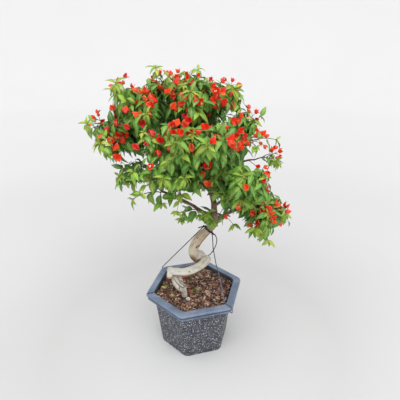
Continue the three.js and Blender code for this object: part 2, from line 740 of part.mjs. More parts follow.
// First place of the stalk that is clear, and of each of its blooms in turn
function makeSpray(shootIndex, curve, at, twigRoom) {
  for (let attempt = 0; attempt < bloom.attempts; attempt += 1) {
    const place = sprayPlace(shootIndex, curve, at, attempt);
    const heads = [];
    const rooms = [];
    for (let index = 0; index < bloom.count; index += 1) {
      for (let turn = 0; turn < bloom.attempts; turn += 1) {
        const head = headPlace(shootIndex, place, index, turn);
        const fork = place.base.clone().lerp(place.tip, index ? head.at : 0);
        const from = fork.lerp(head.centre, 0.3);
        const room = headRoom(head).add(stick(line(from, head.centre), bloom.radius + 0.8, 4, 1));
        if (isClear(room) && rooms.every((other) => other.intersect(room).isEmpty())) {
          heads.push(head);
          rooms.push(room);
          break;
        }
      }
      if (heads.length === 0) {
        break;
      }
    }
    if (heads.length >= bloom.count - 1) {
      return largestBody(sprayShape(place, heads).subtract(twigRoom)).simplify(0.01);
    }
  }
  throw new Error('no room for a spray of blooms');
}

// Ties: a loop of wire round the trunk with two knots, two taut guys to the rim, and a loose tail
const tie = {
  at: 19.85 / 22, loopRadius: 14.7, knotRadius: 3.4,
  leftKnot: [27, 9, 384], rightKnot: [52.5, 5, 362.5],
  leftEnd: [12, 5, 382], rightEnd: [61, 2, 359], leftLoop: [31, 8, 385],
};
const cords = {
  left_guy: { from: [tie.leftKnot], corner: 135, inSlot: false },
  right_guy: {
    from: [tie.rightKnot, [54, -12, 325], [62, -36, 286], [71, -56, 256]], corner: 315, inSlot: true,
  },
};
const tailPoints = [
  tie.rightKnot, [57, 0, 364], [62, -3, 358], [65, -6, 348], [62.5, -13, 335], [55, -20, 322],
  [47, -15, 306], [41, -6, 296],
];

// Each guy bends over the corner of the rim, down its face and under the lip
function guyPoints(guy) {
  const edge = pot.rimRadius - pot.cornerRadius * (1 / Math.cos(degrees(30)) - 1);
  const top = pot.height;
  const under = pot.height - pot.lipDepth;
  const over = guy.inSlot
    ? [[edge - 26.2, top + 0.2], [edge - 23, top - 0.4], [edge - 0.4, top - 0.4], [edge + 1.2, top - 1]]
    : [[edge - 0.7, top + 1.3], [edge + 1.2, top - 0.7]];
  const hook = [
    [edge + 1.8, top - 2.6], [edge + 1.8, under + 3], [edge + 0.5, under - 0.8], [edge - 2.2, under - 1.9],
    [edge - 7, under - 2], [edge - 10.2, under - 1.6], [edge - 11.3, under + 1], [edge - 11.3, under + 4],
  ];
  const out = towards(degrees(guy.corner));
  const rim = [...over, ...hook].map(([reach, z]) => out.clone().multiplyScalar(reach).setZ(z));
  return [...guy.from.map((p) => v3(...p)), ...rim];
}

// Smooth hanging curve through the tail's points, with a station every few diameters
function tailRoute() {
  const curve = new THREE.CatmullRomCurve3(tailPoints.map((p) => v3(...p)));
  return curve.getSpacedPoints(Math.round(curve.getLength() / wire.step));
}

// Path with a station at each of its points
class Route extends THREE.Curve {
  constructor(points) {
    super();
    this.points = points;
  }

  getPoint(share) {
    const place = THREE.MathUtils.clamp(share, 0, 1) * (this.points.length - 1);
    const index = Math.min(Math.floor(place), this.points.length - 2);
    return this.points[index].clone().lerp(this.points[index + 1], place - index);
  }

  getPointAt(share) {
    return this.getPoint(share);
  }

  getTangentAt(share) {
    return this.getTangent(share);
  }
}

function cordSolid(points) {
  const section = ringAround(v3(0, 0, 0), v3(1, 0, 0), v3(0, 1, 0), wire.diameter / 2, wire.sides);
  const outline = new THREE.Shape(section.map((p) => new THREE.Vector2(p.x, p.y)));
  const extrusion = { steps: points.length - 1, extrudePath: new Route(points), bevelEnabled: false };
  return solidOf(new THREE.ExtrudeGeometry(outline, extrusion));
}

function knot(place, allowance) {
  const geometry = new THREE.IcosahedronGeometry(tie.knotRadius + allowance, 0);
  geometry.translate(...place);
  return solidOf(geometry);
}

function makeTie(allowance) {
  const curve = wood.trunk.curve;
  const centre = curve.getPoint(tie.at);
  const ring = new THREE.TorusGeometry(tie.loopRadius, wire.diameter / 2 + allowance, 4, 12);
  ring.scale(1, 1, 1.8);
  ring.applyQuaternion(new THREE.Quaternion().setFromUnitVectors(up, curve.getTangent(tie.at)));
  ring.translate(centre.x, centre.y, centre.z);
  const left = v3(...tie.leftKnot);
  const right = v3(...tie.rightKnot);
  return joined([
    solidOf(ring), knot(tie.leftKnot, allowance), knot(tie.rightKnot, allowance),
    stick(line(left, v3(...tie.leftEnd)), wire.diameter * 0.62 + allowance, 5, 1),
    stick(line(right, v3(...tie.rightEnd)), wire.diameter * 0.5 + allowance, 5, 1),
    stick(line(left, v3(...tie.leftLoop)), wire.diameter * 0.62 + allowance, 5, 1),
  ]);
}

// The whole plant in its pot
const group = new THREE.Group();

function addMesh(name, solid, color, roughness) {
  const material = new THREE.MeshStandardMaterial({ color, roughness, metalness: 0 });
  const mesh = new THREE.Mesh(geometryOf(solid), material);
  mesh.name = name;
  group.add(mesh);
}

const woodSolid = makeWood(0).simplify(0.02);
const woodRoom = makeWood(clearance + 0.05);
addMesh('pot', makePot(), 0x5d6577, 0.6);
addMesh('soil', makeSoil(woodRoom), 0x6b3f2c, 0.95);
addMesh('trunk_and_branches', woodSolid, 0xb9b09a, 0.8);
take(woodSolid);

const tieRoom = makeTie(clearance + 0.05);
const tieSolid = makeTie(0).simplify(0.02);
addMesh('trunk_tie', tieSolid, 0x2e3034, 0.5);
take(tieRoom);
const cordPaths = {
  left_guy: guyPoints(cords.left_guy),
  right_guy: guyPoints(cords.right_guy),
  loose_tail: tailRoute(),
};
for (const [name, points] of Object.entries(cordPaths)) {
  const solid = largestBody(cordSolid(points).subtract(tieRoom)).simplify(0.01);
  addMesh(name, solid, 0x2e3034, 0.5);
  take(solid);
}

const laidOut = shoots.map(layOutShoot);
const seatRoom = makeWood(clearance / 2);
for (const [main] of laidOut) {
  main.start = seatOnWood(main.curve, seatRoom);
}
const twigsOf = (stems, grow) => joined(stems.map((stem) => stick(stem.curve, twig.radius + grow, 6, 8)));
laidOut.flat().forEach((stem) => take(twigsOf([stem], 1), stem));

for (const spray of sprays) {
  const shootIndex = shoots.findIndex((shoot) => shoot.name === spray.shoot);
  const twigRoom = twigsOf(laidOut[shootIndex], 2 * clearance);
  const solid = makeSpray(shootIndex, laidOut[shootIndex][0].curve, spray.at, twigRoom);
  take(solid);
  addMesh(`blooms_${spray.shoot}`, solid, 0xd8261c, 0.6);
}

laidOut.forEach((stems, shootIndex) => {
  const places = stems.map(() => []);
  stems.forEach((stem, twigIndex) => {
    for (let index = 0; index < stem.leaves; index += 1) {
      for (let attempt = 0; attempt < leaf.attempts; attempt += 1) {
        const place = leafPlace(shootIndex, twigIndex, stem, index, attempt);
        const room = bladeRoom(place, leaf.form, -0.03);
        if (place.at > stem.start + 0.07 && isClear(room, stem, bladeRoom(place, leaf.form, 0.14))) {
          places[twigIndex].push(place);
          take(room);
          break;
        }
      }
    }
  });
  addMesh(`shoot_${shoots[shootIndex].name}`, shootSolid(stems, places), 0x4c8a2e, 0.6);
});

export default group;
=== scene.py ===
# Bougainvillea bonsai with a corkscrew trunk, in a hexagonal plastic pot.
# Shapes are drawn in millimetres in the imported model's frame, and scaled to metres when they are finished.
import math
import random

import bmesh
import bpy
from mathutils import Euler, Matrix, Vector, kdtree, noise


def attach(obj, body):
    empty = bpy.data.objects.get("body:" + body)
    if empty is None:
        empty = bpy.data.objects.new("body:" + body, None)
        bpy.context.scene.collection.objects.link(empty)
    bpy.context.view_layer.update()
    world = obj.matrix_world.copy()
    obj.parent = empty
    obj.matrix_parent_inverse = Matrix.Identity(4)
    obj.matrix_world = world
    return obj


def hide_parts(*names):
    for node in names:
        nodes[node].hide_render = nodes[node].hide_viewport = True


print("loading the frame")
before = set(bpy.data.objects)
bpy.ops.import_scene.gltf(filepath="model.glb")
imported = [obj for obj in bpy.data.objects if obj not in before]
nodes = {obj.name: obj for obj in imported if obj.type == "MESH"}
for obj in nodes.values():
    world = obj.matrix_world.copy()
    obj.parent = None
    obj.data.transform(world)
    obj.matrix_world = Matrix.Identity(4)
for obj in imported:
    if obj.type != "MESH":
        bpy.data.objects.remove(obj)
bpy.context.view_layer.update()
scene = bpy.context.scene
scene.view_settings.view_transform = "Standard"
up = Vector((0, 0, 1))
mm = 0.001
goldenAngle = 2.39996  # radians
wholeTurn = 6.28


def lerp(low, high, share):
    return low + (high - low) * share


def clamp(value):  # kept from 0 to 1
    return min(max(value, 0), 1)


def stepSmooth(low, high, value):
    share = clamp((value - low) / (high - low))
    return share * share * (3 - 2 * share)


def towards(degrees):
    angle = math.radians(degrees)
    return Vector((math.cos(angle), math.sin(angle), 0))


def scatter(a, b, c):  # repeatable number from 0 to 1 for three indices
    value = math.sin(a * 12.9898 + b * 78.233 + c * 37.719) * 43758.5453
    return value - math.floor(value)


def swing(rng, amount):  # as much to one side as to the other
    return rng.uniform(-amount, amount)


def threeOf(rng, low, high):
    return [rng.uniform(low, high) for axis in range(3)]


print("placing the camera")
view = {
    "place": (0, -1.030, 0.928), "down": 23.9, "right": 0.91,  # metres and degrees
    "lens": 36.42, "sensor": 36, "pixels": 400,
}
camera = bpy.data.objects.new("camera", bpy.data.cameras.new("camera"))
camera.data.lens = view["lens"]
camera.data.sensor_width = view["sensor"]
camera.location = view["place"]
camera.rotation_euler = (math.radians(90 - view["down"]), 0, math.radians(-view["right"]))
scene.collection.objects.link(camera)
scene.camera = camera
eye = Vector(view["place"]) * 1000
eyeTurn = camera.rotation_euler.to_matrix()
halfPicture = view["pixels"] / 2
pictureDepth = view["lens"] / view["sensor"] * view["pixels"]  # how far off the picture is, in pixels


def lookThrough(column, row):  # direction in which a point of the picture is seen
    return (eyeTurn @ Vector((column - halfPicture, halfPicture - row, -pictureDepth))).normalized()


def spotOnSoil(column, row, height):
    direction = lookThrough(column, row)
    return eye + direction * ((height - eye.z) / direction.z)


def seenAt(place):  # column and row at which the camera sees a place
    local = eyeTurn.transposed() @ (place - eye)
    across, rise = local.x / local.z, local.y / local.z
    return Vector((halfPicture - across * pictureDepth, halfPicture + rise * pictureDepth))


# Node helpers: an input is set to a value, or linked to a socket

def addNode(tree, kind, inputs=None, **settings):
    made = tree.nodes.new("ShaderNode" + kind)
    for key, value in settings.items():
        setattr(made, key, value)
    for key, value in (inputs or {}).items():
        plug(tree, value, made.inputs[key])
    return made


def plug(tree, value, socket):
    if isinstance(value, bpy.types.NodeSocket):
        tree.links.new(value, socket)
    else:
        socket.default_value = value


def paint(code):  # colour from its hex code
    channels = [int(code[index:index + 2], 16) / 255 for index in (0, 2, 4)]
    return (*[c / 12.92 if c <= 0.04045 else ((c + 0.055) / 1.055) ** 2.4 for c in channels], 1)


def mixIn(tree, factor, base, code, blend="MIX"):
    mix = addNode(tree, "Mix", {0: factor, 6: base, 7: paint(code)}, data_type="RGBA", blend_type=blend)
    return mix.outputs[2]


def maths(tree, operation, first, second=0.0):
    return addNode(tree, "Math", {0: first, 1: second}, operation=operation).outputs[0]


def times(tree, first, second):
    return maths(tree, "MULTIPLY", first, second)


def cloud(tree, vector, scale, detail, **more):
    inputs = {"Vector": vector, "Scale": scale, "Detail": detail, **more}
    return addNode(tree, "TexNoise", inputs).outputs[0]


def rescale(tree, value, low, high, newLow, newHigh):
    inputs = {"Value": value, "From Min": low, "From Max": high, "To Min": newLow, "To Max": newHigh}
    return addNode(tree, "MapRange", inputs).outputs[0]


def between(tree, share, low, high):
    return rescale(tree, share, 0, 1, low, high)


def ramp(tree, factor, stops):
    made = addNode(tree, "ValToRGB", {0: factor})
    band = made.color_ramp
    while len(band.elements) < len(stops):
        band.elements.new(0.5)
    for element, (place, code) in zip(band.elements, stops):
        element.position = place
        element.color = paint(code)
    return made.outputs[0]


def attribute(tree, name, output="Fac"):
    return addNode(tree, "Attribute", attribute_name=name).outputs[output]


def objectPlace(tree):
    return addNode(tree, "TexCoord").outputs["Object"]


def axesOf(tree, vector):
    return addNode(tree, "SeparateXYZ", {0: vector}).outputs


def newGroup(name, inputs, outputs):
    group = bpy.data.node_groups.new(name, "ShaderNodeTree")
    for socket, kind, value in inputs:
        made = group.interface.new_socket(socket, in_out="INPUT", socket_type="NodeSocket" + kind)
        if value is not None:
            made.default_value = value
    for socket, kind in outputs:
        group.interface.new_socket(socket, in_out="OUTPUT", socket_type="NodeSocket" + kind)
    return group, group.nodes.new("NodeGroupInput").outputs, group.nodes.new("NodeGroupOutput").inputs


def useGroup(tree, group, inputs):
    return addNode(tree, "Group", inputs, node_tree=group).outputs


def newMaterial(name, **sockets):
    material = bpy.data.materials.new(name)
    material.use_nodes = True
    shader = material.node_tree.nodes["Principled BSDF"]
    for key, value in sockets.items():
        shader.inputs[key.replace("_", " ")].default_value = value
    return material, material.node_tree, shader.inputs


def dress(tree, shader, colour, height, strength, depth):  # colour, and relief of a depth in metres
    plug(tree, colour, shader["Base Color"])
    relief = addNode(tree, "Bump", {"Height": height, "Strength": strength, "Distance": depth})
    plug(tree, relief.outputs[0], shader["Normal"])


print("mixing the shared effects")
# Cloudy variation at two sizes: a soft mottle and a fine grit
mottle, given, out = newGroup(
    "mottle",
    [("Vector", "Vector", None), ("Patch Scale", "Float", 30.0), ("Grit Scale", "Float", 900.0)],
    [("Patches", "Float"), ("Grit", "Float")],
)
patches = cloud(mottle, given["Vector"], given["Patch Scale"], 3.0)
grit = cloud(mottle, given["Vector"], given["Grit Scale"], 2.0)
plug(mottle, rescale(mottle, patches, 0.35, 0.65, 0.0, 1.0), out["Patches"])
plug(mottle, rescale(mottle, grit, 0.3, 0.7, 0.0, 1.0), out["Grit"])

# Ribs of a leaf or a bract: a midrib and slanting side ribs, from the blade's own map
ribs, given, out = newGroup(
    "bladeRibs",
    [("Pairs", "Float", 7.0), ("Slant", "Float", 4.0)],
    [("Midrib", "Float"), ("Ribs", "Float")],
)
blade = axesOf(ribs, addNode(ribs, "UVMap", uv_map="blade").outputs[0])
aside = maths(ribs, "ABSOLUTE", maths(ribs, "SUBTRACT", blade["X"], 0.5))
plug(ribs, rescale(ribs, aside, 0.03, 0.07, 1.0, 0.0), out["Midrib"])
slanted = times(ribs, blade["Y"], given["Pairs"])
slanted = maths(ribs, "SUBTRACT", slanted, times(ribs, aside, given["Slant"]))
wave = maths(ribs, "ABSOLUTE", maths(ribs, "SUBTRACT", maths(ribs, "FRACT", slanted), 0.5))
plug(ribs, rescale(ribs, wave, 0.04, 0.16, 1.0, 0.0), out["Ribs"])

# Streaks that run along a stem, read from its own attribute: round it twice, and along its length
streaks, given, out = newGroup(
    "barkStreaks",
    [("Along", "Float", 40.0), ("Around", "Float", 260.0)],
    [("Streaks", "Float"), ("Cracks", "Float")],
)
flow = attribute(streaks, "barkFlow", "Vector")
stretch = addNode(streaks, "CombineXYZ", {0: given["Around"], 1: given["Around"], 2: given["Along"]})
flow = addNode(streaks, "VectorMath", {0: flow, 1: stretch.outputs[0]}, operation="MULTIPLY").outputs[0]
fibres = cloud(streaks, flow, 1.0, 4.0, Distortion=0.4)
plug(streaks, rescale(streaks, fibres, 0.35, 0.68, 0.0, 1.0), out["Streaks"])
cells = addNode(streaks, "TexVoronoi", {"Vector": flow, "Scale": 0.45}, feature="DISTANCE_TO_EDGE")
plug(streaks, rescale(streaks, cells.outputs["Distance"], 0.0, 0.09, 1.0, 0.0), out["Cracks"])


print("mixing the materials")


def mottled(tree, patchScale, gritScale):
    inputs = {"Vector": objectPlace(tree), "Patch Scale": patchScale, "Grit Scale": gritScale}
    return useGroup(tree, mottle, inputs)


def uneven(tree, name, marks, amount):  # an attribute that varies a little from place to place
    change = times(tree, maths(tree, "SUBTRACT", marks, 0.5), amount)
    return maths(tree, "ADD", attribute(tree, name), change)


# In each look, marks are the scales of patches and grit, and a relief is a strength and a depth in metres
wireLook = {
    "tones": [(0.1, "15181c"), (0.6, "262b31"), (1, "3c444e")],
    "recolour": "66727f", "paleHeight": (0.24, 0.33), "paleSide": (0, 0.05),  # metres: the wire is paler low on the right guy
    "marks": (60.0, 1400.0), "roughness": (0.35, 0.6), "relief": (0.25, 0.0003),
}


def makeWireMaterial():
    material, tree, shader = newMaterial("tieWire", Metallic=0.35)
    marks = mottled(tree, *wireLook["marks"])
    base = ramp(tree, marks["Patches"], wireLook["tones"])
    place = axesOf(tree, objectPlace(tree))
    low = rescale(tree, place["Z"], *wireLook["paleHeight"], 1, 0)
    recolour = times(tree, low, rescale(tree, place["X"], *wireLook["paleSide"], 0, 1))
    plug(tree, between(tree, marks["Grit"], *wireLook["roughness"]), shader["Roughness"])
    dress(tree, shader, mixIn(tree, recolour, base, wireLook["recolour"]), marks["Grit"], *wireLook["relief"])
    return material


potLook = {
    "body": [(0, "353841"), (0.5, "40434d"), (1, "4f525c")], "bodyGrit": "2b2c34",
    "bodyMarks": (22.0, 420.0), "bodyRoughness": (0.5, 0.68), "bodyRelief": (0.35, 0.0004),
    "flecks": [  # scale, size, colour, and the share of the places that have none
        (520, 0.3, "24252c", 0.5), (430, 0.3, "8b8e9a", 0.45), (290, 0.25, "d0d2da", 0.52),
        (200, 0.2, "ffffff", 0.66),
    ],
    "rim": [(0, "5f6d84"), (0.5, "6e7d94"), (1, "808da2")], "dust": "a9b2c0", "scuffs": "4c5668",
    "rimMarks": (26.0, 700.0), "rimRoughness": (0.36, 0.5), "rimRelief": (0.12, 0.0003),
    "groove": "333a48", "grooveFoot": (0.1705, 0.1725), "grooveTop": (0.1762, 0.1778),  # heights in metres of the painted shade in the groove
    "inside": [(0, "2a2f39"), (0.7, "3a414e"), (1, "4a4743")],
    "insideMarks": (50.0, 500.0), "insideRelief": (0.2, 0.0004),
}


def makeBodyPlastic():  # dark grey with dark and pale mineral flecks
    material, tree, shader = newMaterial("fleckedPlastic")
    place = objectPlace(tree)
    marks = mottled(tree, *potLook["bodyMarks"])
    base = ramp(tree, marks["Patches"], potLook["body"])
    base = mixIn(tree, times(tree, marks["Grit"], 0.6), base, potLook["bodyGrit"])
    height = marks["Grit"]
    for scale, size, code, bare in potLook["flecks"]:
        cells = addNode(tree, "TexVoronoi", {"Vector": place, "Scale": scale}).outputs
        chosen = maths(tree, "GREATER_THAN", axesOf(tree, cells["Color"])["X"], bare)
        fleck = times(tree, rescale(tree, cells["Distance"], size, size + 0.08, 1, 0), chosen)
        base = mixIn(tree, fleck, base, code)
        height = maths(tree, "ADD", height, fleck)
    plug(tree, between(tree, marks["Patches"], *potLook["bodyRoughness"]), shader["Roughness"])
    dress(tree, shader, base, height, *potLook["bodyRelief"])
    return material


def makeRimPlastic():  # satin blue-grey, dusty and scuffed, with painted shade in its groove
    material, tree, shader = newMaterial("rimPlastic")
    place = objectPlace(tree)
    marks = mottled(tree, *potLook["rimMarks"])
    base = ramp(tree, marks["Patches"], potLook["rim"])
    dust = cloud(tree, place, 240.0, 5.0)
    base = mixIn(tree, rescale(tree, dust, 0.6, 0.74, 0, 0.5), base, potLook["dust"])
    scuff = cloud(tree, place, 90.0, 6.0, Roughness=0.7)
    base = mixIn(tree, rescale(tree, scuff, 0.62, 0.72, 0, 0.45), base, potLook["scuffs"])
    height = axesOf(tree, place)["Z"]
    # painted shade: darker at the heights of the groove under the rim's edge
    groove = rescale(tree, height, *potLook["grooveFoot"], 0, 1)
    groove = times(tree, groove, rescale(tree, height, *potLook["grooveTop"], 0.7, 0))
    plug(tree, between(tree, marks["Patches"], *potLook["rimRoughness"]), shader["Roughness"])
    base = mixIn(tree, groove, base, potLook["groove"])
    dress(tree, shader, base, marks["Grit"], *potLook["rimRelief"])
    return material


def makeInnerPlastic():  # the same plastic, dark and dusty with old soil
    material, tree, shader = newMaterial("innerPlastic", Roughness=0.7)
    marks = mottled(tree, *potLook["insideMarks"])
    base = ramp(tree, marks["Patches"], potLook["inside"])
    dress(tree, shader, base, marks["Grit"], *potLook["insideRelief"])
    return material


soilLook = {
    "mix": [(0, "2c1c16"), (0.5, "5a3d31"), (1, "866555")],
    "chips": [(0, "3a2620"), (0.25, "7a5346"), (0.5, "a97c68"), (0.75, "d4ae92"), (1, "f4dfca")],
    "damp": "2c1c16", "mixPatches": 60.0, "chipPatches": 40.0, "grit": 1300.0,
    "roughness": (0.75, 0.95), "relief": (0.6, 0.0008),
}


def makeSoilMaterial(name, tones, patchScale):
    material, tree, shader = newMaterial(name)
    marks = mottled(tree, patchScale, soilLook["grit"])
    base = ramp(tree, uneven(tree, "tint", marks["Grit"], 0.35), tones)
    base = mixIn(tree, between(tree, marks["Patches"], 0, 0.5), base, soilLook["damp"], "MULTIPLY")
    plug(tree, between(tree, marks["Grit"], *soilLook["roughness"]), shader["Roughness"])
    dress(tree, shader, base, marks["Grit"], *soilLook["relief"])
    return material


barkLook = {
    "tones": [(0, "cfccc3"), (0.2, "c8bfaa"), (0.42, "b39b84"), (0.6, "8f6f5e"), (0.8, "6f5446"),
              (1, "5a4a38")],
    # the underside colour is painted shade on faces that look down, and the crease colour is painted shade
    # in the creases and at the knots
    "streaks": "f2efe6", "cracks": "6b5236", "underside": "86591f", "shadedCreases": "54301a",
    "marks": (55.0, 1100.0), "along": 45.0, "around": 330.0,  # scales, the last two of its streaks
    "roughness": (0.62, 0.85), "relief": (0.5, 0.0009),
}


def makeBarkMaterial():
    material, tree, shader = newMaterial("bark")
    marks = mottled(tree, *barkLook["marks"])
    lines = useGroup(tree, streaks, {"Along": barkLook["along"], "Around": barkLook["around"]})
    base = ramp(tree, uneven(tree, "age", marks["Patches"], 0.12), barkLook["tones"])
    base = mixIn(tree, times(tree, lines["Streaks"], 0.35), base, barkLook["streaks"], "SOFT_LIGHT")
    recolour = times(tree, lines["Cracks"], rescale(tree, marks["Patches"], 0.2, 0.9, 0.05, 0.5))
    base = mixIn(tree, recolour, base, barkLook["cracks"])
    # painted shade: golden brown where the faces look down
    under = times(tree, attribute(tree, "underside"), between(tree, marks["Grit"], 0.6, 1))
    base = mixIn(tree, under, base, barkLook["underside"])
    # painted shade: the tint layer darkens the creases and the knots
    base = mixIn(tree, attribute(tree, "tint"), base, barkLook["shadedCreases"])
    plug(tree, between(tree, lines["Streaks"], *barkLook["roughness"]), shader["Roughness"])
    height = maths(tree, "SUBTRACT", lines["Streaks"], lines["Cracks"])
    dress(tree, shader, base, height, *barkLook["relief"])
    return material


leafLook = {
    "tones": [(0, "b9b838"), (0.22, "95ac28"), (0.48, "69a02b"), (0.75, "478220"), (1, "2b5c1a")],
    "shade": "5f8048", "under": "8fb06c", "rib": "b7cf84", "ribShare": 0.45, "pairs": 8.0,
    "roughness": (0.34, 0.5),
}
bractLook = {
    "tones": [(0, "fb6f34"), (0.3, "f84d20"), (0.6, "ec3416"), (0.85, "d92216"), (1, "de2f40")],
    "shade": "b03a2a", "under": "f0603a", "rib": "a81812", "ribShare": 0.4, "pairs": 5.0,
    "roughness": (0.49, 0.65),
}


def makeBladeMaterial(name, look):
    material, tree, shader = newMaterial(name)
    marks = mottled(tree, 70.0, 900.0)
    lines = useGroup(tree, ribs, {"Pairs": look["pairs"], "Slant": 4.0})
    base = ramp(tree, uneven(tree, "age", marks["Patches"], 0.12), look["tones"])
    base = mixIn(tree, between(tree, attribute(tree, "tint"), 0, 0.45), base, look["shade"], "MULTIPLY")
    base = mixIn(tree, times(tree, attribute(tree, "underside"), 0.45), base, look["under"])
    line = maths(tree, "MAXIMUM", lines["Midrib"], times(tree, lines["Ribs"], 0.45))
    base = mixIn(tree, times(tree, line, look["ribShare"]), base, look["rib"])
    plug(tree, between(tree, marks["Grit"], *look["roughness"]), shader["Roughness"])
    height = maths(tree, "SUBTRACT", marks["Patches"], times(tree, line, 1.5))
    dress(tree, shader, base, height, 0.35, 0.0006)
    return material


stemTones = [(0, "9aa33c"), (0.4, "7d7a3e"), (0.7, "6f5540"), (1, "5a4334")]
flowerTones = [(0, "c8452c"), (0.55, "dd8a58"), (0.8, "f5ecc8"), (1, "fffbe6")]


def makeStemMaterial():
    material, tree, shader = newMaterial("youngStem", Roughness=0.6)
    marks = mottled(tree, 60.0, 1200.0)
    shade = maths(tree, "ADD", attribute(tree, "age"), times(tree, marks["Patches"], 0.15))
    dress(tree, shader, ramp(tree, shade, stemTones), marks["Grit"], 0.3, 0.0004)
    return material


def makeFlowerMaterial():
    material, tree, shader = newMaterial("creamFlower", Roughness=0.6)
    marks = mottled(tree, 300.0, 2000.0)
    base = ramp(tree, attribute(tree, "age"), flowerTones)
    plug(tree, mixIn(tree, times(tree, marks["Patches"], 0.2), base, "e7c98a"), shader["Base Color"])
    return material


wireMaterial = makeWireMaterial()
potMaterials = [makeBodyPlastic(), makeRimPlastic(), makeInnerPlastic()]
soilMaterial = makeSoilMaterial("pottingMix", soilLook["mix"], soilLook["mixPatches"])
chipMaterial = makeSoilMaterial("barkChips", soilLook["chips"], soilLook["chipPatches"])
barkMaterial = makeBarkMaterial()
stemMaterial = makeStemMaterial()
leafMaterials = [stemMaterial, makeBladeMaterial("bougainvilleaLeaf", leafLook)]
bloomMaterials = [stemMaterial, makeBladeMaterial("redBract", bractLook), makeFlowerMaterial()]


# Piece helpers

def newShape():  # empty shape with every layer that the stamped templates carry
    bm = bmesh.new()
    bm.loops.layers.uv.new("blade")
    for name in ("age", "tint", "underside"):
        bm.verts.layers.float.new(name)
    bm.verts.layers.float_vector.new("barkFlow")
    return bm


def newMesh(name, bm):
    mesh = bpy.data.meshes.new(name)
    bm.to_mesh(mesh)
    bm.free()
    return mesh


def finishPiece(name, bm, materials, replaced=()):
    bmesh.ops.scale(bm, vec=(mm, mm, mm), verts=bm.verts)
    bmesh.ops.recalc_face_normals(bm, faces=bm.faces)
    mesh = newMesh(name, bm)
    for material in materials:
        mesh.materials.append(material)
    piece = bpy.data.objects.new(name, mesh)
    scene.collection.objects.link(piece)
    return declare(piece, replaced)


def declare(piece, replaced=()):
    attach(piece, "root")
    if replaced:
        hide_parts(*replaced)
    return piece


def stamp(bm, template, matrix, slot=0, **values):  # adds a placed copy of a small template
    copy = template.copy()
    copy.transform(matrix)
    copy.shade_smooth()
    for name, value in values.items():
        copy.attributes[name].data.foreach_set("value", [value] * len(copy.vertices))
    copy.polygons.foreach_set("material_index", [slot] * len(copy.polygons))
    bm.from_mesh(copy)
    bpy.data.meshes.remove(copy)


def frameMatrix(x, y, z, place):
    matrix = Matrix((x, y, z)).transposed().to_4x4()
    matrix.translation = place
    return matrix


def framesAlong(places):  # a frame at each place, Z along the path, turned as little as possible
    frames = []
    side = None
    for index, place in enumerate(places):
        direction = (places[min(index + 1, len(places) - 1)] - places[max(index - 1, 0)]).normalized()
        side = direction.orthogonal() if side is None else side - direction * side.dot(direction)
        side.normalize()
        frames.append(frameMatrix(side, direction.cross(side), direction, place))
    return frames


def ringEdges(verts):
    chosen = set(verts)
    return list({edge for vert in verts for edge in vert.link_edges if chosen.issuperset(edge.verts)})


def extrudeRing(bm, edges):
    made = bmesh.ops.extrude_edge_only(bm, edges=edges)["geom"]
    verts = [item for item in made if isinstance(item, bmesh.types.BMVert)]
    return verts, ringEdges(verts)


def sweepTube(bm, places, radii, sides, age=0.0):  # round tube through the places, with closed ends
    tube = newShape()
    frames = framesAlong(places)
    ring = bmesh.ops.create_circle(tube, cap_ends=True, segments=sides, radius=radii[0], matrix=frames[0])
    edges = ringEdges(ring["verts"])
    for index in range(1, len(frames)):
        ring, edges = extrudeRing(tube, edges)
        grow = radii[index] / radii[index - 1]
        scale = Matrix.Diagonal((grow, grow, 1, 1))
        bmesh.ops.transform(tube, matrix=frames[index] @ scale @ frames[index - 1].inverted(), verts=ring)
    bmesh.ops.contextual_create(tube, geom=edges)
    mesh = newMesh("tube", tube)
    stamp(bm, mesh, Matrix(), age=age)
    bpy.data.meshes.remove(mesh)


def vectors(places):
    return [Vector(place) for place in places]


def splinePoint(points, share):  # smooth curve through the points
    place = share * (len(points) - 1)
    index = min(int(place), len(points) - 2)
    rest = place - index
    start, end = points[index], points[index + 1]
    before = points[index - 1] if index else 2 * start - end
    after = points[index + 2] if index + 2 < len(points) else 2 * end - start
    into, out = (end - before) / 2, (after - start) / 2
    return (start + into * rest + (3 * (end - start) - 2 * into - out) * rest ** 2
            + (2 * (start - end) + into + out) * rest ** 3)


def evenSteps(points, step):  # even places along the curve, each with its share and run of the length
    fine = [splinePoint(points, n / (24 * len(points))) for n in range(24 * len(points) + 1)]
    run = [0.0]
    for first, second in zip(fine, fine[1:]):
        run.append(run[-1] + (second - first).length)
    count = max(2, round(run[-1] / step))
    places, index = [], 0
    for number in range(count + 1):
        goal = run[-1] * number / count
        while index < len(fine) - 2 and run[index + 1] < goal:
            index += 1
        rest = (goal - run[index]) / max(run[index + 1] - run[index], 1e-9)
        places.append((fine[index].lerp(fine[index + 1], rest), number / count, goal))
    return places


def valueAt(values, share):
    place = share * (len(values) - 1)
    index = min(int(place), len(values) - 2)
    return lerp(values[index], values[index + 1], place - index)


print("stretching the wires")
pot = {
    "turn": 15, "height": 184, "floor": 4, "rimRadius": 152, "lipDepth": 18, "cornerRadius": 18,
    "cornerSegments": 9, "floorRadius": 104.4, "innerRadius": 126, "mouth": 181,
    "wobble": 0.5, "wobbleScale": 0.012, "wobbleHeights": (10, 160), "wobbleReach": 112,  # outer wall alone
    "slotCorners": (75, 195, 315), "slotInset": 18, "slotLength": 60, "slotWidth": 5, "slotDepth": 2.2,
    "drains": 6, "drainRadius": 6, "drainCircle": 58, "edgeBevel": 0.0007, "sharpEdge": 28,
    "profile": [  # corner radius, height and material: 0 body, 1 rim
        (106.5, 0, 0), (108, 2, 0), (129, 181, 0), (144, 181, 0), (143, 166, 1), (148, 166, 1),
        (148.6, 170.5, 1), (145, 172, 1), (144.6, 176, 1), (150.6, 177, 1), (152, 178.6, 1), (151, 181.5, 1),
        (147.5, 184, 1), (128, 184, 1),
    ],
}
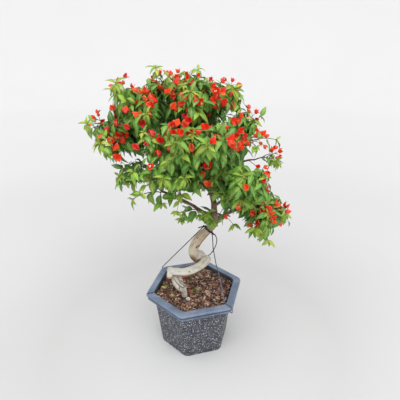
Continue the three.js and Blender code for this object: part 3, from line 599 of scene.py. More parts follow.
wires = {
    "diameter": 2.6, "tieDiameter": 2.3, "station": 30, "tailStation": 5, "coilSteps": 16,
    "leftCorner": 135, "leftReach": 149, "leftKnot": (27, 9, 384), "leftEnd": (12, 5, 382),
    "rightCorner": 315, "rightKnot": (52.5, 5, 362.5), "rightEnd": (61, 2, 359),
    "leftLoop": (31, 8, 385), "loopAt": 19.85 / 22, "loopRadius": 14.7, "turns": 2, "pitch": 2.7,
    "knot": (2.1, 2.5, 2.2), "twist": (0.8, 2),  # radius, turns and pitch
    "rightBend": [(54, -12, 325), (62, -36, 286), (71, -56, 256)],
    "tail": [(57, 0, 364), (62, -3, 358), (65, -6, 348), (62.5, -13, 335), (55, -20, 322), (47, -15, 306),
             (41, -6, 296)],
    # Bends out from the rim's corner: the first two lists go up from its top, the last from under its lip
    "overRim": [(-0.7, 1.3), (1.2, -0.7), (1.8, -2.6)],
    "throughSlot": [(-26.2, 0.2), (-23, -0.4), (-0.4, -0.4), (1.2, -1), (1.8, -2.6)],
    "underLip": [(1.8, 3), (0.5, -0.8), (-2.2, -1.9), (-7, -2), (-10.2, -1.6), (-11.3, 1), (-11.3, 4)],
}


def overTheRim(corner, way):  # bends over a corner of the rim, down its face and up under the lip
    edge = pot["rimRadius"] - pot["cornerRadius"] * (1 / math.cos(math.radians(30)) - 1)
    bends = [(edge + reach, pot["height"] + rise) for reach, rise in wires[way]]
    bends += [(edge + reach, pot["height"] - pot["lipDepth"] + rise) for reach, rise in wires["underLip"]]
    return [towards(corner) * reach + up * height for reach, height in bends]


def spaced(points, step):  # more stations on long straight runs
    places = [points[0]]
    for start, end in zip(points, points[1:]):
        count = max(1, round((end - start).length / step))
        places += [start.lerp(end, number / count) for number in range(1, count + 1)]
    return places


def wireCurve(name, runs, diameter):
    curve = bpy.data.curves.new(name, "CURVE")
    curve.dimensions = "3D"
    curve.bevel_depth = diameter / 2000
    curve.bevel_resolution = 3
    curve.use_fill_caps = True
    for run in runs:
        spline = curve.splines.new("POLY")
        spline.points.add(len(run) - 1)
        spline.use_smooth = True
        for point, place in zip(spline.points, run):
            point.co = (*(place * mm), 1)
    piece = bpy.data.objects.new(name, curve)
    curve.materials.append(wireMaterial)
    scene.collection.objects.link(piece)
    return piece


def addCord(name, points):
    piece = declare(wireCurve(name, [points], wires["diameter"]), [name.replace("_wire", "")])


leftKnot, rightKnot = vectors([wires["leftKnot"], wires["rightKnot"]])
leftRoute = [leftKnot] + overTheRim(wires["leftCorner"], "overRim")
rightRoute = [rightKnot] + vectors(wires["rightBend"]) + overTheRim(wires["rightCorner"], "throughSlot")
tailRoute = evenSteps([rightKnot] + vectors(wires["tail"]), wires["tailStation"])
addCord("left_guy_wire", spaced(leftRoute, wires["station"]))
addCord("right_guy_wire", spaced(rightRoute, wires["station"]))
addCord("loose_tail_wire", [place for place, share, run in tailRoute])


# The wood's curves, each with its radius at even shares of its length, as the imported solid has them
wood = {
    "trunk": ([(-28, -33, 122), (-30, -32, 160), (-32, -33, 186), (-37, -34, 206), (-46, -31, 226),
               (-58, -20, 242), (-70, -25, 256), (-61, -42, 264), (-26, -49, 268), (2, -41, 273),
               (22, -27, 278), (34, -9, 281), (37, 9, 273), (31, 24, 259), (15, 27, 260), (4, 15, 275),
               (-1, 5, 292), (-3, 2, 312), (6, 4, 336), (24, 7, 357), (44, 10, 377), (60, 12, 398),
               (58, 11, 425)],
              [7, 7.4, 8, 9.4, 10.4, 11, 11.6, 12, 12.4, 12.6, 12.8, 12.8, 12.6, 12.6, 13.4, 14, 14.5,
               14.5, 13.5, 12, 11.5, 9]),
    "lobe": ([(-35, -37, 190), (-45, -41, 203), (-55, -40, 219), (-59, -33, 235), (-61, -26, 248)],
             [5.5, 7.6, 8.4, 8.6, 8]),
    "knee": ([(-66, -40, 262), (-70, -42, 255), (-71, -42, 243)], [11, 11.4, 8]),
    "bulb": ([(1, 4, 287), (8, 9, 285), (16, 12, 285), (24, 13, 286), (30, 14, 285)],
             [13, 15, 16.2, 14.4, 8.5]),
    "stub": ([(-27, -33, 140), (-23, -43, 160), (-20.5, -49, 170), (-19.5, -54, 175)], [6, 7.2, 7, 6.6]),
    "leader": ([(58, 11, 412), (57, 10, 435), (54, 8, 468), (42, 5, 502), (16, 0, 530), (-5, 0, 565),
                (-22, 5, 620), (-30, 10, 680), (-34, 8, 735), (-35, 5, 752)],
               [9.5, 8.4, 7.4, 6.4, 5.4, 4.4, 3.4, 2.4]),
    "left_low": ([(57, 10, 418), (26, 2, 432), (-6, -8, 460), (-50, -30, 495), (-90, -41, 519)],
                 [6.2, 5, 3.8, 2.5]),
    "right_low": ([(60, 12, 400), (88, 16, 418), (125, 4, 440), (165, -15, 454), (180, -20, 458)],
                  [6.2, 5, 3.8, 2.5]),
    "right_up": ([(54, 8, 466), (84, 14, 520), (112, 14, 575), (128, 8, 630), (130, 6, 650)],
                 [5.6, 4.6, 3.6, 2.4]),
    "right_mid": ([(110, 14, 570), (145, 8, 584), (165, 2, 588)], [3.4, 3, 2.3]),
    "left_up": ([(-3, 0, 562), (-50, 4, 592), (-105, 0, 626), (-155, -8, 662), (-180, -8, 677)],
                [5, 4.2, 3.3, 2.4]),
    "front": ([(30, 3, 517), (18, -48, 560), (4, -98, 612), (-2, -118, 636)], [4.8, 3.8, 2.4]),
    "back": ([(49, 7, 485), (60, 60, 530), (54, 108, 585), (46, 130, 615)], [5, 3.9, 2.4]),
    "top_right": ([(-21, 5, 617), (12, 10, 676), (44, 6, 722), (58, 3, 738)], [4, 3.2, 2.3]),
    "back_left": ([(-9, 1, 583), (-48, 56, 620), (-88, 106, 660), (-101, 124, 678)], [4.4, 3.4, 2.3]),
    "back_right": ([(80, 14, 512), (114, 62, 548), (130, 86, 570)], [4, 3.2, 2.3]),
    "front_right": ([(56, 9, 448), (84, -42, 496), (108, -88, 545), (113, -104, 566)], [4.6, 3.6, 2.3]),
    "front_left": ([(-6, -8, 460), (-34, -66, 500), (-62, -112, 548), (-71, -128, 568)], [4, 3.3, 2.3]),
    "left_high": ([(-27, 7, 650), (-72, 2, 694), (-112, -8, 730), (-130, -11, 741)], [3.6, 3, 2.3]),
}
limbs = {name: (vectors(points), radii) for name, (points, radii) in wood.items()}


def coil(centre, axis, radius, turns, pitch, phase=1):  # wire wound round an axis
    across = axis.orthogonal().normalized() * phase
    over = axis.cross(across)
    count = round(turns * wires["coilSteps"])
    places = []
    for number in range(count + 1):
        angle = 2 * math.pi * turns * number / count
        offset = pitch * (turns * number / count - turns / 2)
        place = centre + across * math.cos(angle) * radius + over * math.sin(angle) * radius
        places.append(place + axis * offset)
    return places


def makeTie():
    trunk = limbs["trunk"][0]
    before, centre, after = [splinePoint(trunk, wires["loopAt"] + step) for step in (-0.01, 0, 0.01)]
    runs = [coil(centre, (after - before).normalized(), wires["loopRadius"], wires["turns"], wires["pitch"])]
    leftFoot = towards(wires["leftCorner"]) * wires["leftReach"] + up * pot["height"]
    for knot, guyEnd, looseEnd in [
        (leftKnot, leftFoot, Vector(wires["leftEnd"])),
        (rightKnot, Vector(wires["rightBend"][0]), Vector(wires["rightEnd"])),
    ]:
        runs.append(coil(knot, (guyEnd - knot).normalized(), *wires["knot"]))
        middle = knot.lerp(looseEnd, 0.5)
        twist = looseEnd - knot
        for phase in (1, -1):  # two ends twisted together
            runs.append(coil(middle, twist.normalized(), *wires["twist"], twist.length / 2, phase))
    runs.append([leftKnot, leftKnot.lerp(Vector(wires["leftLoop"]), 0.6), Vector(wires["leftLoop"])])
    declare(wireCurve("wire_tie", runs, wires["tieDiameter"]), ["trunk_tie"])


makeTie()


print("moulding the pot")


def insideRadius(height):  # inner wall, which tapers to the floor
    share = (height - pot["floor"]) / (pot["height"] - pot["floor"])
    return lerp(pot["floorRadius"], pot["innerRadius"], share)


def hexagonRing(bm, radius, height):  # hexagon with rounded corners, as one face
    turn = Matrix.Rotation(math.radians(pot["turn"] - 90), 4, "Z")  # a circle's first corner lies on Y
    ring = bmesh.ops.create_circle(bm, cap_ends=True, segments=6, radius=radius, matrix=turn)["verts"]
    offset = pot["cornerRadius"] * math.tan(math.radians(30))
    made = bmesh.ops.bevel(bm, geom=ring, offset=offset, segments=pot["cornerSegments"], profile=0.5,
                           affect="VERTICES", material=-1)["verts"]
    verts = list(set(made))
    bmesh.ops.translate(bm, vec=(0, 0, height), verts=verts)
    return verts


def growRing(verts, step, height):  # every corner moves out by a step and keeps its rounding
    for vert in verts:
        corner = round((math.degrees(math.atan2(vert.co.y, vert.co.x)) - pot["turn"]) / 60)
        vert.co += towards(pot["turn"] + 60 * corner) * step
        vert.co.z = height


def applyModifiers(piece):
    bpy.context.view_layer.update()
    mesh = bpy.data.meshes.new_from_object(piece.evaluated_get(bpy.context.evaluated_depsgraph_get()))
    piece.modifiers.clear()
    piece.data = mesh


def cutAway(piece, cutters):  # cuts shapes out of a piece and leaves no trace of them
    shape = bmesh.new()
    for sides, matrix in cutters:
        bmesh.ops.create_cone(shape, cap_ends=True, segments=sides, radius1=1, radius2=1, depth=1,
                              matrix=matrix)
    cutter = bpy.data.objects.new("cutter", newMesh("cutter", shape))
    scene.collection.objects.link(cutter)
    modifier = piece.modifiers.new("cut", "BOOLEAN")
    modifier.object = cutter
    modifier.operation = "DIFFERENCE"
    applyModifiers(piece)
    bpy.data.objects.remove(cutter)


def slotsAndDrains():  # the sides and the place of each opening
    cutters = []
    toMetres = Matrix.Scale(mm, 4)
    for corner in pot["slotCorners"]:  # shallow slots that a guy can lie in
        place = towards(corner) * (pot["rimRadius"] - pot["slotInset"]) + up * pot["height"]
        size = Matrix.Diagonal((pot["slotLength"], pot["slotWidth"], pot["slotDepth"] * 2, 1))
        square = size @ Matrix.Rotation(math.pi / 4, 4, "Z") @ Matrix.Diagonal((2 ** -0.5, 2 ** -0.5, 1, 1))
        turn = Matrix.Rotation(math.radians(corner), 4, "Z")
        cutters.append((4, toMetres @ Matrix.Translation(place) @ turn @ square))
    for hole in range(pot["drains"]):
        place = towards(pot["turn"] + 60 * hole) * pot["drainCircle"]
        size = Matrix.Diagonal((pot["drainRadius"], pot["drainRadius"], pot["floor"] * 4, 1))
        cutters.append((20, toMetres @ Matrix.Translation(place) @ size))
    return cutters


def makePot():
    bm = bmesh.new()
    inside = [(insideRadius(height), height, 2) for height in (pot["mouth"], pot["floor"])]
    rings = pot["profile"] + inside
    ring = hexagonRing(bm, *rings[0][:2])
    edges = ringEdges(ring)
    for last, (radius, height, kind) in zip(rings, rings[1:]):
        firstFace = len(bm.faces)
        ring, edges = extrudeRing(bm, edges)
        growRing(ring, radius - last[0], height)
        bm.faces.ensure_lookup_table()
        for face in bm.faces[firstFace:]:
            face.material_index = kind
    bmesh.ops.contextual_create(bm, geom=edges, mat_nr=2)
    low, high = pot["wobbleHeights"]
    for vert in bm.verts:  # a moulded wall is never quite flat
        if low < vert.co.z < high and vert.co.xy.length > pot["wobbleReach"]:
            wobble = noise.noise(vert.co * pot["wobbleScale"]) * pot["wobble"]
            vert.co.xy += vert.co.xy.normalized() * wobble
    for face in bm.faces:
        face.smooth = True
    piece = finishPiece("hexagonal_pot", bm, potMaterials, ["pot"])
    cutAway(piece, slotsAndDrains())
    bevel = piece.modifiers.new("soft edges", "BEVEL")
    bevel.width = pot["edgeBevel"]
    bevel.segments = 2
    bevel.angle_limit = math.radians(pot["sharpEdge"])
    bevel.harden_normals = True


makePot()


print("filling the soil")
soil = {
    "edge": 167, "top": 170, "bottom": 4.3, "gap": 0.35, "relief": 2.4, "bank": 3, "bankReach": 120,
    "rings": 14, "waves": [(0.03, 0, 0.7), (0.13, 40, 0.5)],  # scale, layer and share of the relief
    "feet": [(-29, -33), (-22, -44), (-36, -37)], "footReach": 12, "level": 168, "wallGap": 2,
    "bigChips": 16, "bigReach": 86, "bigSize": (31, 14, 5.5), "bigGrow": (0.75, 1.25), "bigSink": 0.3,
    "bigTilt": (0.7, 0.6), "bigTone": (0.2, 0.75),
    "chips": 1900, "chipReach": 117, "chipLength": (4.5, 12.5), "shortShare": 1.8, "chipWidth": (0.3, 0.55),
    "chipThick": (0.16, 0.3), "chipTilt": (0.7, 0.55), "chipLift": (-0.5, 2.2), "chipTone": (1.1, 1.6),
    "jitter": 4,
    "crumbs": 700, "crumbReach": 118, "crumbSize": (2, 5.5), "crumbLift": (0.2, 2.4),
    "spilt": 46, "spiltReach": (118, 128), "spiltSize": (1.2, 3), "spiltTone": (0.3, 0.9),
    "spiltAt": [100, 105, 112, 118, 122, 196],  # most on the rim behind, and some on the left corner
    "rimTop": (128, 150),
}


def insideHexagon(place, radius):  # how far a place is from the wall of a rounded hexagon
    flat = radius * math.cos(math.radians(30))
    angle = math.degrees(math.atan2(place.y, place.x)) - pot["turn"] - 30
    off = math.radians((angle + 30) % 60 - 30)
    corner = radius - 0.155 * pot["cornerRadius"]  # rounding shortens a corner by 0.155 of its radius
    return min(flat - place.xy.length * math.cos(off), corner - place.xy.length)


def insidePot(place):
    return insideHexagon(place, insideRadius(soil["level"]) - 1)


def bankHeight(reach):  # the mix stands higher towards the wall
    return soil["bank"] * (reach / soil["bankReach"]) ** 2


def soilHeight(x, y):
    relief = sum(share * noise.noise(Vector((x, y, layer)) * scale) for scale, layer, share in soil["waves"])
    return soil["top"] + soil["relief"] * relief + bankHeight(math.hypot(x, y))


def chipTemplate(name, seed):  # split nugget of bark: a bevelled block, pulled out of true
    rng = random.Random(seed)
    bm = newShape()
    verts = bmesh.ops.create_cube(bm, size=1)["verts"]
    for vert in verts:
        taper = 1 - rng.uniform(0.05, 0.5) * abs(vert.co.x)
        vert.co.y *= taper
        vert.co.z *= taper
        vert.co += Vector(threeOf(rng, -0.1, 0.1))
    bmesh.ops.bevel(bm, geom=bm.edges[:], offset=0.13, segments=1, profile=0.5, affect="EDGES", material=-1)
    return newMesh(name, bm)


def crumbTemplate(name, seed):
    rng = random.Random(seed)
    bm = newShape()
    bmesh.ops.create_icosphere(bm, subdivisions=1, radius=0.5)
    for vert in bm.verts:
        vert.co *= rng.uniform(0.6, 1.1)
    return newMesh(name, bm)


chipShapes = [chipTemplate(f"chip{number}", number) for number in range(6)]
crumbShapes = [crumbTemplate(f"crumb{number}", number) for number in range(4)]


def placed(place, turn, size):
    return Matrix.Translation(place) @ turn.to_matrix().to_4x4() @ Matrix.Diagonal((*size, 1))


def nearFoot(place):
    return any(math.hypot(place.x - x, place.y - y) < soil["footReach"] for x, y in soil["feet"])


def onSpiral(number, count, radius):  # one of the places that are spread evenly over a disc
    reach = radius * math.sqrt((number + 0.5) / count)
    return Vector((reach * math.cos(number * goldenAngle), reach * math.sin(number * goldenAngle), 0))


def makeSoil():
    bm = newShape()
    radius = insideRadius(soil["edge"]) - soil["gap"]
    ring = hexagonRing(bm, radius, soil["edge"])
    bmesh.ops.delete(bm, geom=bm.faces[:], context="FACES_ONLY")
    edges = ringEdges(ring)
    for number in range(1, soil["rings"] + 1):
        share = 1 - number / (soil["rings"] + 1)
        grow = share / (1 - (number - 1) / (soil["rings"] + 1))
        ring, edges = extrudeRing(bm, edges)
        bmesh.ops.scale(bm, vec=(grow, grow, 1), verts=ring)
        for vert in ring:
            vert.co.z = soilHeight(vert.co.x, vert.co.y)
    bmesh.ops.contextual_create(bm, geom=edges)
    rim = [edge for edge in bm.edges if edge.is_boundary]
    ring, edges = extrudeRing(bm, rim)
    growRing(ring, insideRadius(soil["bottom"]) - soil["gap"] - radius, soil["bottom"])
    bmesh.ops.contextual_create(bm, geom=edges)
    layer = bm.verts.layers.float["tint"]
    for vert in bm.verts:
        vert[layer] = 0.25 + 0.3 * noise.noise(vert.co * 0.05)
    for face in bm.faces:
        face.smooth = True
    finishPiece("potting_soil", bm, [soilMaterial], ["soil"])


def makeChips(rng):
    bm = newShape()
    for chip in range(soil["bigChips"]):
        place = onSpiral(chip, soil["bigChips"], soil["bigReach"])
        place.z = soil["top"] - soil["bigSink"] + bankHeight(place.xy.length)
        length, width, thick = soil["bigSize"]
        grow = lerp(*soil["bigGrow"], scatter(chip, 2, 5))
        tilts = [(scatter(chip, 3 + axis, 5) - 0.5) * tilt for axis, tilt in enumerate(soil["bigTilt"])]
        turn = Euler((*tilts, scatter(chip, 6, 5) * math.pi))
        if not nearFoot(place):
            matrix = placed(place, turn, (length * grow, width * grow, thick))
            stamp(bm, chipShapes[chip % len(chipShapes)], matrix, tint=rng.uniform(*soil["bigTone"]))
    for chip in range(soil["chips"]):
        place = onSpiral(chip, soil["chips"], soil["chipReach"])
        place += Vector((swing(rng, soil["jitter"]), swing(rng, soil["jitter"]), 0))
        length = lerp(*soil["chipLength"], rng.random() ** soil["shortShare"])
        wall = insidePot(place)
        if wall < soil["wallGap"] or nearFoot(place):
            continue
        length = min(length, 6 + 2 * wall)
        place.z = soilHeight(place.x, place.y) + rng.uniform(*soil["chipLift"])
        turn = Euler((*[swing(rng, tilt) for tilt in soil["chipTilt"]], rng.uniform(0, math.pi)))
        size = (length, *[length * rng.uniform(*soil[side]) for side in ("chipWidth", "chipThick")])
        stamp(bm, rng.choice(chipShapes), placed(place, turn, size), tint=rng.betavariate(*soil["chipTone"]))
    finishPiece("bark_chips", bm, [chipMaterial])


def makeCrumbs(rng):
    bm = newShape()
    for number in range(soil["crumbs"]):
        place = Vector((swing(rng, soil["crumbReach"]), swing(rng, soil["crumbReach"]), 0))
        if insidePot(place) < soil["wallGap"] or nearFoot(place):
            continue
        place.z = soilHeight(place.x, place.y) + rng.uniform(*soil["crumbLift"])
        size = threeOf(rng, *soil["crumbSize"])
        turn = Euler(threeOf(rng, 0, 3))
        stamp(bm, rng.choice(crumbShapes), placed(place, turn, size), tint=rng.uniform(0, 1))
    for number in range(soil["spilt"]):
        corner = rng.choice(soil["spiltAt"])
        place = towards(corner + swing(rng, 4)) * rng.uniform(*soil["spiltReach"])
        if insideHexagon(place, soil["rimTop"][1]) < 4 or insideHexagon(place, soil["rimTop"][0]) > -1:
            continue
        size = threeOf(rng, *soil["spiltSize"])
        place.z = pot["height"] + size[2] * 0.3
        stamp(bm, rng.choice(crumbShapes), placed(place, Euler((0, 0, rng.uniform(0, 3))), size),
              tint=rng.uniform(*soil["spiltTone"]))
    finishPiece("soil_crumbs", bm, [chipMaterial])


soilRandom = random.Random(5)
makeSoil()
makeChips(soilRandom)
makeCrumbs(soilRandom)


print("growing the trunk and the branches")
bark = {
    "sides": 18, "step": 4, "voxel": 0.0014, "smoothings": 3, "sample": 3,
    "swollen": ("trunk", "lobe", "knee", "bulb", "stub"),
    "trunkTone": [0.16, 0.06, 0.0, 0.0, 0.0, 0.02, 0.08, 0.13, 0.17, 0.24, 0.36, 0.48, 0.55],
    # under: the slopes at which the painted shade on faces that look down starts and is full
    "limbTone": [0.62, 0.75, 0.9], "under": (-0.12, -0.42),
    "foot": 0.22, "lobes": 0.035, "footLobes": 1.6, "trunkLobes": 0.7, "twist": (0.035, 0.02),
    "lumps": 0.09, "trunkLumps": 0.045, "limbLumps": 0.09,
    # Faint creases, pressed in and darkened with painted shade, wind both ways up the foot: their slope,
    # wander, start, and how narrow they are
    "windings": [(0.05, 2.4, 0, 0.9), (-0.075, 3, 2, 0.93)], "windingShade": 0.35, "windingDepth": 0.08,
    "shadedCreases": [  # columns and rows of the folds on the foot, pressed in and darkened with painted shade
        [(173.9, 278.6), (175.2, 280.7), (176.8, 283.1), (178.9, 284.8), (179.8, 286.5), (179.6, 289)],
        [(177.7, 276.9), (178.9, 279.8), (179.8, 282.3), (181.8, 284), (183.9, 285.6), (185.7, 286.5)],
        [(179.8, 286.5), (183, 287.7), (185.7, 286.5)], [(180.7, 280.7), (183, 281.5), (184.3, 284)],
    ],
    # column, row and size of each dark spot of painted shade, on a small raised knot
    "knots": [(197.3, 248.1, 3.4), (199.8, 246.6, 3.0), (190.4, 271.4, 2.0), (196.5, 238, 1.8)],
    "knotReach": 1.6, "knotRelief": 0.9,
    "creaseBox": (10, 275), "creaseWidth": (0.85, 0.2),  # right and upper ends, and half widths in pixels
    "creaseShade": 0.8, "creaseDepth": 1.1,
}


def barkStations():  # places along every limb, each with what the bark there needs
    stations = []
    for name, (points, radii) in limbs.items():
        steps = evenSteps(points, bark["sample"])
        frames = framesAlong([place for place, share, run in steps])
        offset = 500.0 * len(stations)  # each limb reads another part of the patterns
        stations += [(name, share, run + offset, valueAt(radii, share), frames[number])
                     for number, (place, share, run) in enumerate(steps)]
    tree = kdtree.KDTree(len(stations))
    for index, station in enumerate(stations):
        tree.insert(station[4].translation, index)
    tree.balance()
    return stations, tree


def lobesAt(angle, along, run):  # two lobes twist up the trunk, and five slighter ones the other way
    first, second = bark["twist"]
    return math.cos(2 * angle + along * first) + 0.5 * math.cos(5 * angle - run * second)


def windingAt(angle, along, wander):
    marks = [stepSmooth(edge, 1, math.cos(angle + along * slope + sway * wander + start))
             for slope, sway, start, edge in bark["windings"]]
    return max(marks) * (0.85 + 0.8 * wander)


def growBark(bm):  # lumps, twisted lobes and the layers that the bark's colours read, among them painted shade under the trunk and in its creases
    stations, tree = barkStations()
    layers = bm.verts.layers
    age, under, flow = layers.float["age"], layers.float["underside"], layers.float_vector["barkFlow"]
    tint = layers.float["tint"]
    bm.normal_update()
    for vert in bm.verts:
        name, share, run, radius, around = stations[tree.find(vert.co)[1]]
        local = around.inverted() @ vert.co
        along = run + local.z
        vert[flow] = (local.x / 1000, local.y / 1000, along / 1000)
        angle = math.atan2(local.y, local.x)
        isTrunk = name in bark["swollen"]
        scale = bark["trunkLumps"] if isTrunk else bark["limbLumps"]
        lump = noise.noise(Vector((local.x, local.y, along)) * scale)
        swell = bark["lumps"] * lump
        if isTrunk:
            isFoot = name == "lobe" or name == "trunk" and share < bark["foot"]
            lobes = bark["lobes"] * lobesAt(angle, along, run)
            swell += lobes * (bark["footLobes"] if isFoot else bark["trunkLobes"])
            vert[age] = valueAt(bark["trunkTone"], share if name == "trunk" else 0.1)
            # painted shade on the faces that look down
            vert[under] = stepSmooth(*bark["under"], vert.normal.z)
            if isFoot:
                winding = windingAt(angle, along, noise.noise(Vector((local.x, local.y, run)) * 0.11))
                # painted shade in the winding creases, which are pressed in as well
                vert[tint] = clamp(bark["windingShade"] * winding)
                swell -= bark["windingDepth"] * winding
        else:
            vert[age] = valueAt(bark["limbTone"], share) + 0.1 * lump
            vert[under] = 0.0
        vert.co += vert.normal * (radius * swell)


def awayFromLine(spot, line):  # how far a spot of the picture is from a line of points
    near = math.inf
    for start, end in zip(line, line[1:]):
        share = clamp((spot - start).dot(end - start) / (end - start).length_squared)
        near = min(near, (spot - start.lerp(end, share)).length)
    return near


def markShadedCreases(bm):  # painted shade in pressed-in folds, on the side of the foot that the camera sees
    tint = bm.verts.layers.float["tint"]
    lines = [vectors(line) for line in bark["shadedCreases"]]
    right, top = bark["creaseBox"]
    for vert in bm.verts:
        if vert.co.z > top or vert.co.x > right or vert.normal.dot(eye - vert.co) < 0:
            continue
        spot = seenAt(vert.co)
        fold = stepSmooth(*bark["creaseWidth"], min(awayFromLine(spot, line) for line in lines))
        # painted shade in the fold, which is pressed in as well
        vert[tint] = max(vert[tint], bark["creaseShade"] * fold)
        vert.co -= vert.normal * bark["creaseDepth"] * fold


def markShadedKnots(bm):  # dark spots of painted shade, on small raised knots on the side that the camera sees
    tint = bm.verts.layers.float["tint"]
    reach = bark["knotReach"]
    for column, row, size in bark["knots"]:
        direction = lookThrough(column, row)
        near = None
        for vert in bm.verts:
            depth = (vert.co - eye).dot(direction)
            if (vert.co - eye - direction * depth).length < 3 and (near is None or depth < near[0]):
                near = (depth, vert.co.copy())
        for vert in bm.verts:
            away = (vert.co - near[1]).length
            if away < size * reach:
                vert[tint] = max(vert[tint], 1 - stepSmooth(size * 0.5, size * reach, away))
                vert.co += vert.normal * (bark["knotRelief"] * math.cos(min(away / size, reach) * 2.6))


def makeWood():
    bm = newShape()
    for points, radii in limbs.values():
        steps = evenSteps(points, bark["step"])
        places = [place for place, share, run in steps]
        sweepTube(bm, places, [valueAt(radii, share) for place, share, run in steps], bark["sides"])
    piece = finishPiece("trunk_and_branches_bark", bm, [barkMaterial], ["trunk_and_branches"])
    remesh = piece.modifiers.new("one skin", "REMESH")
    remesh.mode = "VOXEL"
    remesh.voxel_size = bark["voxel"]
    applyModifiers(piece)
    bm = newShape()
    bm.from_mesh(piece.data)
    bmesh.ops.scale(bm, vec=(1000, 1000, 1000), verts=bm.verts)
    for smoothing in range(bark["smoothings"]):
        bmesh.ops.smooth_vert(bm, verts=bm.verts, factor=0.5, use_axis_x=True, use_axis_y=True,
                              use_axis_z=True)
    growBark(bm)
    markShadedCreases(bm)
    markShadedKnots(bm)
    bmesh.ops.scale(bm, vec=(mm, mm, mm), verts=bm.verts)
    for face in bm.faces:
        face.smooth = True
    bm.to_mesh(piece.data)
    bm.free()


makeWood()


print("cutting the leaves and the bracts")
# A blade's half width follows its rows, and each of its bends is a fold, a curl and a wave
blades = {
    "leaf": {
        "rows": (0, 0.1, 0.17, 0.3, 0.46, 0.64, 0.82, 1), "columns": 4, "thick": 0.012, "stalk": 0.1,
        "half": 0.235, "lean": 0.68, "round": 0.95,
        "bends": [(0.22, 0.3, 0.12), (0.35, 0.5, 0.1), (0.12, 0.25, 0.25), (0.45, 0.4, 0.15),
                  (0.28, 0.7, 0.1)],
    },
    "smallLeaf": {
        "rows": (0, 0.12, 0.28, 0.5, 0.76, 1), "columns": 2, "thick": 0.014, "stalk": 0.08,
        "half": 0.21, "lean": 0.68, "round": 0.95,
        "bends": [(0.3, 0.3, 0.15), (0.45, 0.7, 0.15), (0.2, 0.5, 0.15), (0.5, 0.1, 0.15)],
    },
    "youngLeaf": {
        "rows": (0, 0.08, 0.3, 0.55, 0.8, 1), "columns": 2, "thick": 0.02, "stalk": 0.06,
        "half": 0.15, "lean": 0.8, "round": 0.9,
        "bends": [(0.5, 0.5, 0.1), (0.4, 0.9, 0.1), (0.6, 0.2, 0.1)],
    },
    "bract": {
        "rows": (0, 0.12, 0.32, 0.55, 0.78, 1), "columns": 4, "thick": 0.016, "stalk": 0.0,
        "half": 0.36, "lean": 0.82, "round": 0.8,
        "bends": [(0.2, -0.3, 0.15), (0.1, -0.6, 0.25), (0.35, 0.2, 0.2), (0.15, -0.8, 0.1)],
    },
}


def bladeTemplate(name, shape, fold, curl, wave, seed):
    bm = newShape()
    last = len(shape["rows"]) - 1
    bmesh.ops.create_grid(bm, x_segments=shape["columns"], y_segments=last, size=0.5, calc_uvs=True)
    for vert in bm.verts:
        share = shape["rows"][round((vert.co.y + 0.5) * last)]
        along = max(share - shape["stalk"], 0) / (1 - shape["stalk"])
        half = max(shape["half"] * math.sin(math.pi * along ** shape["lean"]) ** shape["round"], 0.013)
        aside = 2 * vert.co.x * half * (1 if share < 1 else 0)
        rise = fold * abs(aside) + curl * (0.5 * share - share * share)
        rise += wave * math.sin(9 * share + seed + 2 * vert.co.x) * abs(aside)
        vert.co = (aside, share, rise)
    bmesh.ops.remove_doubles(bm, verts=bm.verts[:], dist=0.0005)
    made = bmesh.ops.solidify(bm, geom=bm.faces[:], thickness=shape["thick"])["geom"]
    layer = bm.verts.layers.float["underside"]
    for item in made:
        if isinstance(item, bmesh.types.BMVert):
            item[layer] = 1.0
    return newMesh(name, bm)


def bladeTemplates(kind):
    shape = blades[kind]
    return [bladeTemplate(f"{kind}{seed}", shape, *bend, seed) for seed, bend in enumerate(shape["bends"])]


leafShapes, smallShapes = bladeTemplates("leaf"), bladeTemplates("smallLeaf")
youngShapes, bractShapes = bladeTemplates("youngLeaf"), bladeTemplates("bract")


flowerProfile = [(0.06, 0.4), (0.075, 0.8), (0.11, 0.9), (0.24, 0.97), (0.02, 0.93)]  # radius and height


def flowerTemplate():  # slender tube that opens into a small cream star
    bm = newShape()
    age = bm.verts.layers.float["age"]
    ring = bmesh.ops.create_circle(bm, cap_ends=True, segments=5, radius=0.07)["verts"]
    edges = ringEdges(ring)
    for radius, height in flowerProfile:
        ring, edges = extrudeRing(bm, edges)
        for vert in ring:
            vert.co = Vector((*(vert.co.xy.normalized() * radius), height))
            vert[age] = height
    bmesh.ops.contextual_create(bm, geom=edges)
    return newMesh("flower", bm)


flowerShape = flowerTemplate()


# Where twigs, leaves and blooms stand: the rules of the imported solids, and finer growth between them
leaf = {"longest": 46, "shortest": 33, "attempts": 9, "curl": 0.3}
twig = {"radius": 1.6, "fork": 0.35, "sideReach": 0.75, "mainLeaves": 5, "mainFrom": 0.26, "sideFrom": 0.38,
        "longReach": 66, "leafTurn": 2.4}  # the turn in radians from one leaf to the next
fineTwigs = {  # radius, sides, steps and age
    "sub": (1.0, 4, 4, 0.6), "spur": (1.1, 4, 4, 0.8), "fill": (0.95, 4, 4, 0.65),
    "whorl": (1.0, 5, 5, 0.2), "weed": (0.5, 4, 3, 0.3), "spray": (1.1, 5, 4, 0.5),
    "pedicel": (0.8, 4, 3, 0.3), "bud": (0.6, 4, 2, 0.3), "loneBloom": (0.75, 4, 4, 0.3),
}
bloom = {
    "bract": 26, "stalk": 34, "pedicel": 19, "count": 5, "attempts": 8, "curl": -0.3,
    "size": (17, 21.5), "spread": (0.85, 1.05), "open": (0.4, 1.3), "budSize": (9, 14),
    "flowering": 0.035, "flowerSize": (6, 9),
    "edges": (104, 90, 246, 190), "edgeSize": 0.72,  # the full blooms lie within these
}
